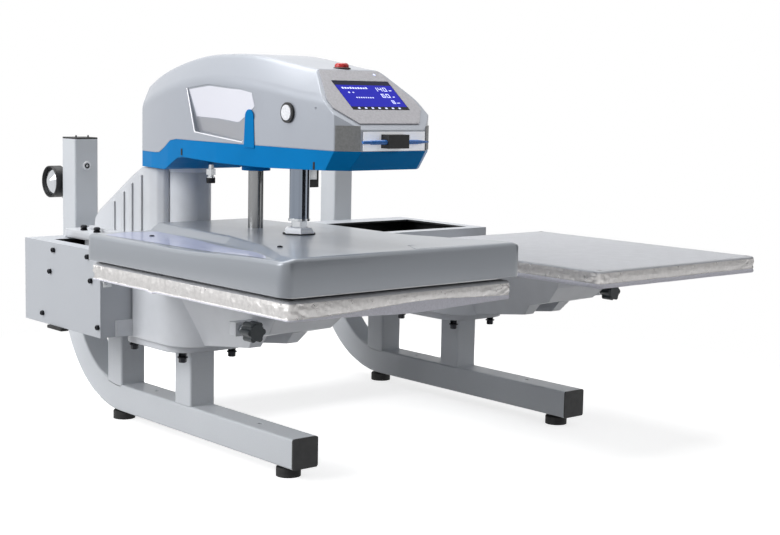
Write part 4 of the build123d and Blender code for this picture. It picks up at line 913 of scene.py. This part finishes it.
def panel_point(x, s, lift):
    """Place on the sloping panel: x across from the middle, s down the slope, lift above it."""
    run = (PANEL_FOOT - PANEL_TOP).normalized()
    place = PANEL_TOP + run * s + Vector((run.y, -run.x)) * lift
    return Vector((LEFT_X + x, place.x, place.y))


def head_skin():
    """Pearly shell of the head, open below, with its window, button holes and side hollows."""
    skin = head_solid("head_skin", 0)
    below = SPLIT_LINE + ((220, 300), (-620, 300))
    subtract(skin, side_prism("below", below, LEFT_X - CUT_REACH, LEFT_X + CUT_REACH))
    subtract(skin, head_solid("hollow", SKIN))
    subtract(skin, side_prism("window", REAR_WINDOW, LEFT_X - WINDOW_HALF, LEFT_X + WINDOW_HALF))
    for way, word in SIDES:
        hole = circle(BUTTON_PLACE, BUTTON_HOLE)
        subtract(skin, side_prism("button_hole", hole, LEFT_X + way * 60, LEFT_X + way * 120))
        subtract(skin, closed_solid("recess", *recess_sheet(way, (0, 1), (0, 1), (0, 30))))
    subtract(skin, plan_prism("stop_hole", circle((LEFT_X, STOP_PLACE), STOP_HOLE), 600, 720))
    screen = [[panel_point(x, s, lift) for x, s in SCREEN_HOLE] for lift in (-14, 6)]
    subtract(skin, stacked_solid("screen_hole", screen))
    paint(skin.data, HEAD_SILVER)
    skin.data.shade_smooth()
    skin.data.set_sharp_from_angle(angle=math.radians(22))
    ride_on(skin, "carriage")
    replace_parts(skin, "head_shell")


def recess_trim(way, word):
    """Pearly panel, grey floor and lip of one side hollow; the lip's near-white colour is a painted highlight."""
    verts, faces = recess_sheet(way, (PANEL_EDGE, 0.97), (0.03, 0.86), (-0.2, 0.5))
    make_piece(f"pearl_panel_{word}", verts, faces, [PEARL], "carriage")
    verts, faces = recess_sheet(way, (0.02, PANEL_EDGE - 0.02), (0.02, 0.74), (-0.3, 0.25))
    make_piece(f"recess_floor_{word}", verts, faces, [RECESS_GREY], "carriage")
    # The lip is a thin bead painted near-white as a highlight.
    lip = [recess_point(0, 1 - i / LIP_UP_STEPS)[0] for i in range(LIP_UP_STEPS + 1)]
    lip += [recess_point(LIP_END * i / LIP_ALONG_STEPS, 0)[0] for i in range(1, LIP_ALONG_STEPS + 1)]
    points = [(LEFT_X + way * (head_at(p.x)[0] - 0.3), p.x, p.y) for p in lip]
    tube(f"recess_lip_{word}", points, 1.1, LIP_HIGHLIGHT, "carriage")


def panel_marks(name, marks, lift, material):
    """Thin rectangles on the display, each (x0, x1, s0, s1)."""
    verts = [panel_point(x, s, lift) for x0, x1, s0, s1 in marks for x, s in ((x0, s0), (x0, s1), (x1, s1), (x1, s0))]
    faces = [tuple(range(base, base + 4)) for base in range(0, len(verts), 4)]
    make_piece(name, verts, faces, [material], "carriage")


# Bars of plain seven-bar digits: top, upper left, upper right, middle, lower left, lower right, foot.
DIGIT_BARS = {0: "abcefg", 1: "cf", 4: "bcdf", 6: "abdefg", 8: "abcdefg"}
# Each number of the display is its digits, its place, the step between digits, and their width and height.
DISPLAY_NUMBERS = (((1, 4, 0), 20, 43, 9, 6.5, 9), ((6, 0), 26, 58, 9, 6.5, 9), ((8,), 37, 73, 0, 5.5, 8))
DISPLAY_SPOTS = [(-34, -31, 54, 57), (-26, -23, 54.5, 56.5), (48, 53, 49, 51), (46, 50, 64, 66), (45, 51, 78.5, 80)]


def digit(value, x, s, width, height):
    """Rectangles of one digit with its top left corner at x, s."""
    bar = height * 0.16
    half = height / 2
    bars = {"a": (0, width, 0, bar), "b": (0, bar, 0, half), "c": (width - bar, width, 0, half),
            "d": (0, width, half - bar / 2, half + bar / 2), "e": (0, bar, half, height),
            "f": (width - bar, width, half, height), "g": (0, width, height - bar, height)}
    return [(x + bars[b][0], x + bars[b][1], s + bars[b][2], s + bars[b][3]) for b in DIGIT_BARS[value]]


def display():
    """Backlit display with plain bars and numbers."""
    panel_marks("display_centre", [(-49, 59.5, 38, 88)], 1.28, DISPLAY_BLUE)
    panel_marks("display_foot", [(-49, 59.5, 88, 95.4)], 1.3, DISPLAY_BLACK)
    marks = []
    for digits, x, s, pitch, width, height in DISPLAY_NUMBERS:
        for place, value in enumerate(digits):
            marks += digit(value, x + place * pitch, s, width, height)
    marks += [(-40 + 5 * i, -36.5 + 5 * i, 43 + 0.4 * (i % 3), 47) for i in range(10)]
    marks += DISPLAY_SPOTS
    marks += [(-26 + 4.4 * i, -23.4 + 4.4 * i, 66, 68.4) for i in range(8)]
    marks += [(-38 + 13 * i, -34 + 13 * i, 90, 93.2) for i in range(7)]
    panel_marks("display_marks", marks, 1.36, DISPLAY_LIGHT)


SHELL_SCREW = (90.6, -416, 598)
# Notches at the split line are thin black blocks on the skin: painted shade in place of cut notches.
NOTCHES = ((-49.8, 517.5), (-413.9, 514))
NOTCH_HALF = Vector((0.5, 2.2, 5.5))

head_skin()
display()
for way, word in SIDES:
    recess_trim(way, word)
    screw_name = "shell_screws" if word == "left" else "shell_screws_right"
    screw_place = (LEFT_X + way * SHELL_SCREW[0], *SHELL_SCREW[1:])
    cap_screw(screw_name, [screw_place], (way, 0, 0), 2.2, 1.2, "carriage", material=HEAD_SILVER)
    for number, (y, z) in enumerate(NOTCHES):
        # Each notch block is black as painted shade of the notch.
        notch = Vector((LEFT_X + way * (head_at(y)[0] + 0.1), y, z))
        rounded_block(f"skirt_notch_{word}_{number}", notch - NOTCH_HALF, notch + NOTCH_HALF, 0.3, WASHER_BLACK_AND_NOTCH_SHADE,
                      "carriage")


# Fasteners in place of the plain ones
def loose_boxes(node):
    """Low corner, middle and high corner of every separate solid in a node."""
    shape = bmesh.new()
    shape.from_mesh(nodes[node].data)
    seen = set()
    found = []
    for start in shape.verts:
        if start.index in seen:
            continue
        heap = [start]
        seen.add(start.index)
        island = []
        while heap:
            vertex = heap.pop()
            island.append(nodes[node].matrix_world @ vertex.co / MM)
            for edge in vertex.link_edges:
                other = edge.other_vert(vertex)
                if other.index not in seen:
                    seen.add(other.index)
                    heap.append(other)
        low, high = [Vector([pick(v[i] for v in island) for i in range(3)]) for pick in (min, max)]
        found.append((low, (low + high) / 2, high))
    shape.free()
    return found


def end_plate_screws():
    for way, word in SIDES:
        places = [(low.x if way > 0 else high.x, middle.y, middle.z)
                  for low, middle, high in loose_boxes("beam_screws") if (low.x > LEFT_X) == (way > 0)]
        piece = cap_screw(f"end_screws_{word}", places, (way, 0, 0), 4.5, 2.8, "frame")
        if way < 0:
            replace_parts(piece, "beam_screws")


def flange_bolts():
    """Hexagon heads on round washers under the pedestals, and cap screws on the deck."""
    head = [(8.976, 0), (8.976, 1.6), (6.936, 1.6), (6.8, 1.6, "hex"), (6.8, 8.57, "hex"), (6.12, 9.8, "hex")]
    places = [(middle.x, middle.y, high.z) for low, middle, high in loose_boxes("pedestal_bolts")]
    piece = lathe("pedestal_bolt_heads", head, places, DOWN, BLACK_STEEL, "frame", "black_steel", 24)
    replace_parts(piece, "pedestal_bolts")
    places = [(middle.x, middle.y, low.z) for low, middle, high in loose_boxes("deck_bolts")]
    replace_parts(cap_screw("deck_bolt_heads", places, UP, 6.4, 4.8, "carriage"), "deck_bolts")


end_plate_screws()
flange_bolts()


# Inside of the beam is black
BEAM_LOW, BEAM_HIGH = box("beam_tray")
BEAM_WALL = 3.2


def blacken_inside(shape):
    shape.data.materials.append(INSIDE_BLACK)
    for polygon in shape.data.polygons:
        spot = shape.matrix_world @ polygon.center / MM
        inside = BEAM_LOW.y + BEAM_WALL < spot.y < BEAM_HIGH.y - BEAM_WALL
        inside = inside and BEAM_LOW.z + BEAM_WALL < spot.z < BEAM_HIGH.z - 0.8
        if inside and BEAM_LOW.x - 0.5 < spot.x < BEAM_HIGH.x + 0.5:
            polygon.material_index = 1


blacken_inside(nodes["beam_tray"])
blacken_inside(nodes["beam_end_plates"])


# Weld lines at the posts
TUBE_HALF = 25.4
RUNNER_TOP = 70.8
WELD_HALF = 22
WELD_STEPS = 26


def weld_line(name, middle):
    """Uneven bead along a seam."""
    start = middle - Vector((WELD_HALF, 0, 0))
    end = middle + Vector((WELD_HALF, 0, 0))
    points = []
    for i in range(WELD_STEPS + 1):
        spot = start.lerp(end, i / WELD_STEPS)
        wobble = noise.noise(spot * MM * 160) * 0.35
        points.append(spot + Vector((0, wobble, wobble)))
    tube(name, points, 1.8, LEG_GREY, "frame")


for word, node in (("front", "front_posts"), ("rear", "rear_posts")):
    for side, x in STATIONS.items():
        for way, letter in ((-1, "a"), (1, "b")):
            seam = Vector((x, centre(node).y + way * TUBE_HALF, RUNNER_TOP + 0.4))
            weld_line(f"{side}_{word}_weld_{letter}", seam)


# Turned fittings
UPRIGHT_Y = centre("upright_caps").y
UPRIGHT_TOP = box("upright_caps")[1].z
PIN_GAP = 13
BORE_Z = 468.8
GAUGE = centre("pressure_gauge")
GAUGE_FRONT = box("pressure_gauge")[0].x
ROD = centre("piston_rod")
STOP = centre("stop_bolt")
STOP_END = box("stop_bolt")[0].z
PEN = centre("stylus")
PEN_END = box("stylus")[0].x
GRIP = centre("regulator_knob")
GRIP_FOOT = box("regulator_knob")[0].z
STANDS_FOR = {"stylus_pen": "stylus", "regulator_grip": "regulator_knob"}
PIN_PLACES = [(x + dx, UPRIGHT_Y - 8, UPRIGHT_TOP - 0.2) for x in STATIONS.values() for dx in (-PIN_GAP, PIN_GAP)]
# Name, profile, places, axis, material, body, slot and number of sides.
FITTINGS = [
    ("panel_led", [(2.2, 0), (2.2, 0.6), (1.4, 1.0)], [panel_point(43.5, 12.5, 1.4)],
     panel_point(0, 0, 1) - panel_point(0, 0, 0), DISPLAY_LIGHT, "carriage", "white_plastic", 20),
    ("cap_pins", [(1.8, 0), (1.6, 3.2), (0.8, 4.4)], PIN_PLACES, UP, BLACK_PLASTIC, "frame", "black_plastic", 16),
    ("bore_bolt_end", [(4.9, 0), (4.9, 2.4), (3.6, 3.0), (3, 3, "hex"), (3, 1, "hex")],
     [(LEFT_X, UPRIGHT_Y - TUBE_HALF, BORE_Z)], FRONT, BLACK_STEEL, "frame", "black_steel", 24),
    ("gauge_face", [(27.6, 0), (27.6, 0.6), (24, 2.4), (8, 9.5), (4, 10.6), (1, 11)],
     [(GAUGE_FRONT + 4.6, GAUGE.y, GAUGE.z)], LEFT, CHROME, "frame", "chrome", 48),
    ("regulator_grip", [(15.3, 0), (16.83, 1.8), (17, 4.2, "grip"), (17, 20.4, "grip"), (16.49, 24), (14.62, 27.6),
                        (10.54, 29.7), (3.4, 30)], [(GRIP.x, GRIP.y, GRIP_FOOT)], UP, BLACK_PLASTIC, "regulator_knob",
     "black_plastic", 112),
    ("rod_stud_nuts", [(9.2, -21), (9.2, -12.5), (13.4, -12.5, "hex"), (13.4, -1.5, "hex"), (17.2, -1.5), (17.2, 2.5),
                       (16.1, 2.5)], [(ROD.x, ROD.y, 419)], UP, CHROME, "platen", "chrome", 48),
    ("rod_washer", [(26, 0), (26, 1.8), (24, 2)], [(ROD.x, ROD.y, 396.5)], UP, WASHER_BLACK_AND_NOTCH_SHADE, "platen",
     "black_plastic", 48),
    ("rod_flange_nut", [(24.5, 0, "hex"), (24.5, 4, "hex"), (21, 9, "hex"), (15, 9.2), (15, 7)],
     [(ROD.x, ROD.y, 398.3)], UP, WHITE_PAINT, "platen", "white_paint", 48),
    ("stop_bolt_tip", [(7.3, 0), (7.6, 2), (7.6, 8), (7.1, 9)], [(STOP.x, STOP.y, STOP_END - 0.2)], UP, BLACK_RUBBER,
     "carriage", "black_rubber", 32),
    ("stylus_pen", [(2.1, 0), (2.6, 3), (2.6, 14), (3.3, 15), (3.3, 104), (2.6, 112), (0.9, 126)],
     [(PEN_END, PEN.y, PEN.z)], RIGHT, STYLUS_BLUE, "stylus", "stylus_blue", 24),
]
RING_FITTINGS = [
    ("stop_collar", [(11.3, 0), (13.6, 0), (13.6, 1.2), (12.6, 2), (11.3, 2)],
     [(LEFT_X, STOP_PLACE, head_at(STOP_PLACE)[3] - 0.5)], UP, BLACK_PLASTIC, "carriage", "black_plastic", 40),
    ("gauge_bezel", [(28.6, 0), (31, 0), (31, 2), (29.6, 3), (28.6, 3)], [(GAUGE_FRONT - 0.6, GAUGE.y, GAUGE.z)],
     LEFT, BLACK_PLASTIC, "frame", "black_plastic", 48),
]
for side, x in STATIONS.items():
    knob = centre(f"{side}_clamp_knob")
    stub = (knob.x, box(f"{side}_clamp_knob")[0].y + 32.2, knob.z)
    FITTINGS.append((f"{side}_knob_stub", [(6.8, 0), (6.8, 3), (7.8, 3.4, "hex"), (7.8, 9, "hex")], [stub], BACK,
                     CHROME, f"{side}_clamp_knob", "chrome", 24))
    RING_FITTINGS.append((f"{side}_bore_ring", [(5.4, -1), (8.6, -1), (8.6, 1.2), (7.6, 2.2), (5.4, 2.2)],
                          [(x, UPRIGHT_Y - TUBE_HALF, BORE_Z)], FRONT, WHITE_PAINT, "frame", "white_paint", 40))
for fitting in FITTINGS:
    piece = lathe(*fitting)
    if piece.name in STANDS_FOR:
        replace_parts(piece, STANDS_FOR[piece.name])
for fitting in RING_FITTINGS:
    lathe(*fitting, ring=True)

# Small blocks, and a screw on the rail whose head is painted white as a glint
SENSOR_LOW, SENSOR_HIGH = box("proximity_sensor")
rounded_block("beam_plug", (-462, 241, BEAM_LOW.z - 6), (-446, 294, BEAM_LOW.z), 1.5, BLACK_RUBBER, "frame")
rounded_block("beam_tab", (-453, BEAM_LOW.y - 5, 278), (-436, BEAM_LOW.y, 288), 0.8, ALLOY, "frame")
rounded_block("sensor_bracket", (SENSOR_LOW.x - 1, SENSOR_LOW.y - 0.6, SENSOR_HIGH.z - 26),
              (SENSOR_LOW.x + 17, SENSOR_LOW.y + 3.4, SENSOR_HIGH.z), 0.8, ALLOY, "carriage")
# White paint on this steel screw head is a painted glint.
cap_screw("carriage_screw_painted_glint", [(-391, 228, BEAM_HIGH.z - 3.6)], UP, 3, 1.2, "frame", "rail_steel", WHITE_PAINT)


# Stage, lamps and camera, in metres
AMBIENT = 0.2
FLOOR_REACH = 14
FLOOR_BOUNCE = (0.34, 0.34, 0.35, 1)
FLOOR_SHADE = (0.6, 0.6, 0.6, 1)
FLOOR_LIFT = 0.74
WHITE_FROM = 0.75
WHITE_BEYOND = 1.25
CARD_BLACK = (0.01, 0.01, 0.012, 1)
AIM = (0, 0, 0.4)
# Name, place, aim, width, height and power of each lamp; then name, place, width and height of each card.
LAMPS = (("key_left", (-3.4, 0.9, 2.0), AIM, 2.6, 2.4, 112), ("top", (0.0, 0.6, 3.2), (0, 0, 0.3), 3.0, 3.0, 92),
         ("front_fill", (1.5, -4.0, 1.9), AIM, 2.5, 1.6, 22))
CARDS = (("card_front", (0.5, -3.3, 0.9), 2.6, 2.6), ("card_right", (3.3, -0.9, 0.7), 2.6, 2.2))


def seen_directly(tree):
    """1 for what the camera sees itself, in a mirror or through glass, and 0 for light on other things."""
    path = add_node(tree, "LightPath")
    seen = path.outputs["Is Camera Ray"]
    for ray in ("Is Glossy Ray", "Is Transmission Ray"):
        most = add_node(tree, "Math", {0: seen, 1: path.outputs[ray]})
        most.operation = "MAXIMUM"
        seen = most.outputs[0]
    return seen


def flat_sheet(name, width, height, material):
    """Flat stage piece about its middle."""
    mesh = bpy.data.meshes.new(name)
    corners = ((-1, -1), (1, -1), (1, 1), (-1, 1))
    mesh.from_pydata([(x * width / 2, y * height / 2, 0) for x, y in corners], [], [(0, 1, 2, 3)])
    mesh.materials.append(material)
    sheet = add_object(name, mesh)
    return sheet


def stage_floor():
    """Pale floor that shows the object's shadow near it and turns pure white away from it."""
    material = bpy.data.materials.new("floor")
    material.use_nodes = True
    tree = material.node_tree
    tree.nodes.clear()
    bounce = add_node(tree, "BsdfDiffuse", {}, {"Color": FLOOR_BOUNCE})
    shade = add_node(tree, "BsdfDiffuse", {}, {"Color": FLOOR_SHADE})
    lift = add_node(tree, "Emission", {}, {"Strength": FLOOR_LIFT})
    white = add_node(tree, "Emission")
    lit = add_node(tree, "AddShader", {0: shade.outputs[0], 1: lift.outputs[0]})
    where = add_node(tree, "NewGeometry").outputs["Position"]
    distance = add_node(tree, "VectorMath", {0: where})
    distance.operation = "LENGTH"
    fade = add_node(tree, "MapRange", {"Value": distance.outputs["Value"]},
                    {"From Min": WHITE_FROM, "From Max": WHITE_BEYOND})
    fade.interpolation_type = "SMOOTHSTEP"
    near = {"Fac": fade.outputs["Result"], 1: lit.outputs[0], 2: white.outputs[0]}
    near = add_node(tree, "MixShader", near)
    pick = {"Fac": seen_directly(tree), 1: bounce.outputs[0], 2: near.outputs[0]}
    pick = add_node(tree, "MixShader", pick)
    add_node(tree, "OutputMaterial", {"Surface": pick.outputs[0]})
    flat_sheet("floor", 2 * FLOOR_REACH, 2 * FLOOR_REACH, material)


def sky():
    """White seen directly and in reflections, and a softer light for everything else."""
    world = bpy.data.worlds.new("studio")
    bpy.context.scene.world = world
    world.use_nodes = True
    tree = world.node_tree
    background = tree.nodes["Background"]
    background.inputs["Color"].default_value = (1, 1, 1, 1)
    strength = add_node(tree, "MapRange", {"Value": seen_directly(tree)}, {"To Min": AMBIENT, "To Max": 1.0})
    tree.links.new(strength.outputs["Result"], background.inputs["Strength"])


def aim(thing, place, target):
    thing.location = place
    thing.rotation_euler = (Vector(target) - Vector(place)).to_track_quat("-Z", "Y").to_euler()


def dark_card(name, place, width, height):
    """Black card that only reflections see, so that polished metal shows dark bands."""
    material = bpy.data.materials.new(name)
    material.use_nodes = True
    shader = material.node_tree.nodes["Principled BSDF"]
    shader.inputs["Base Color"].default_value = CARD_BLACK
    shader.inputs["Roughness"].default_value = 1.0
    card = flat_sheet(name, width, height, material)
    aim(card, place, AIM)
    card.visible_camera = False
    card.visible_diffuse = False
    card.visible_shadow = False
    card.visible_transmission = False


def softbox(name, place, target, width, height, power):
    light = bpy.data.lights.new(name, "AREA")
    light.shape = "RECTANGLE"
    light.size = width
    light.size_y = height
    light.energy = power
    aim(add_object(name, light), place, target)


stage_floor()
sky()
for lamp in LAMPS:
    softbox(*lamp)
for card in CARDS:
    dark_card(*card)

lens = bpy.data.cameras.new("camera")
lens.sensor_fit = "HORIZONTAL"
lens.sensor_width = SENSOR_MM
lens.lens = FOCAL_PIXELS / PICTURE_WIDTH * SENSOR_MM
camera = add_object("camera", lens)
turned = Matrix((CAMERA_RIGHT, CAMERA_UP, CAMERA_RIGHT.cross(CAMERA_UP))).transposed()
camera.matrix_world = Matrix.Translation(CAMERA_PLACE) @ turned.to_4x4()
bpy.context.scene.camera = camera
bpy.context.scene.view_settings.view_transform = "Standard"
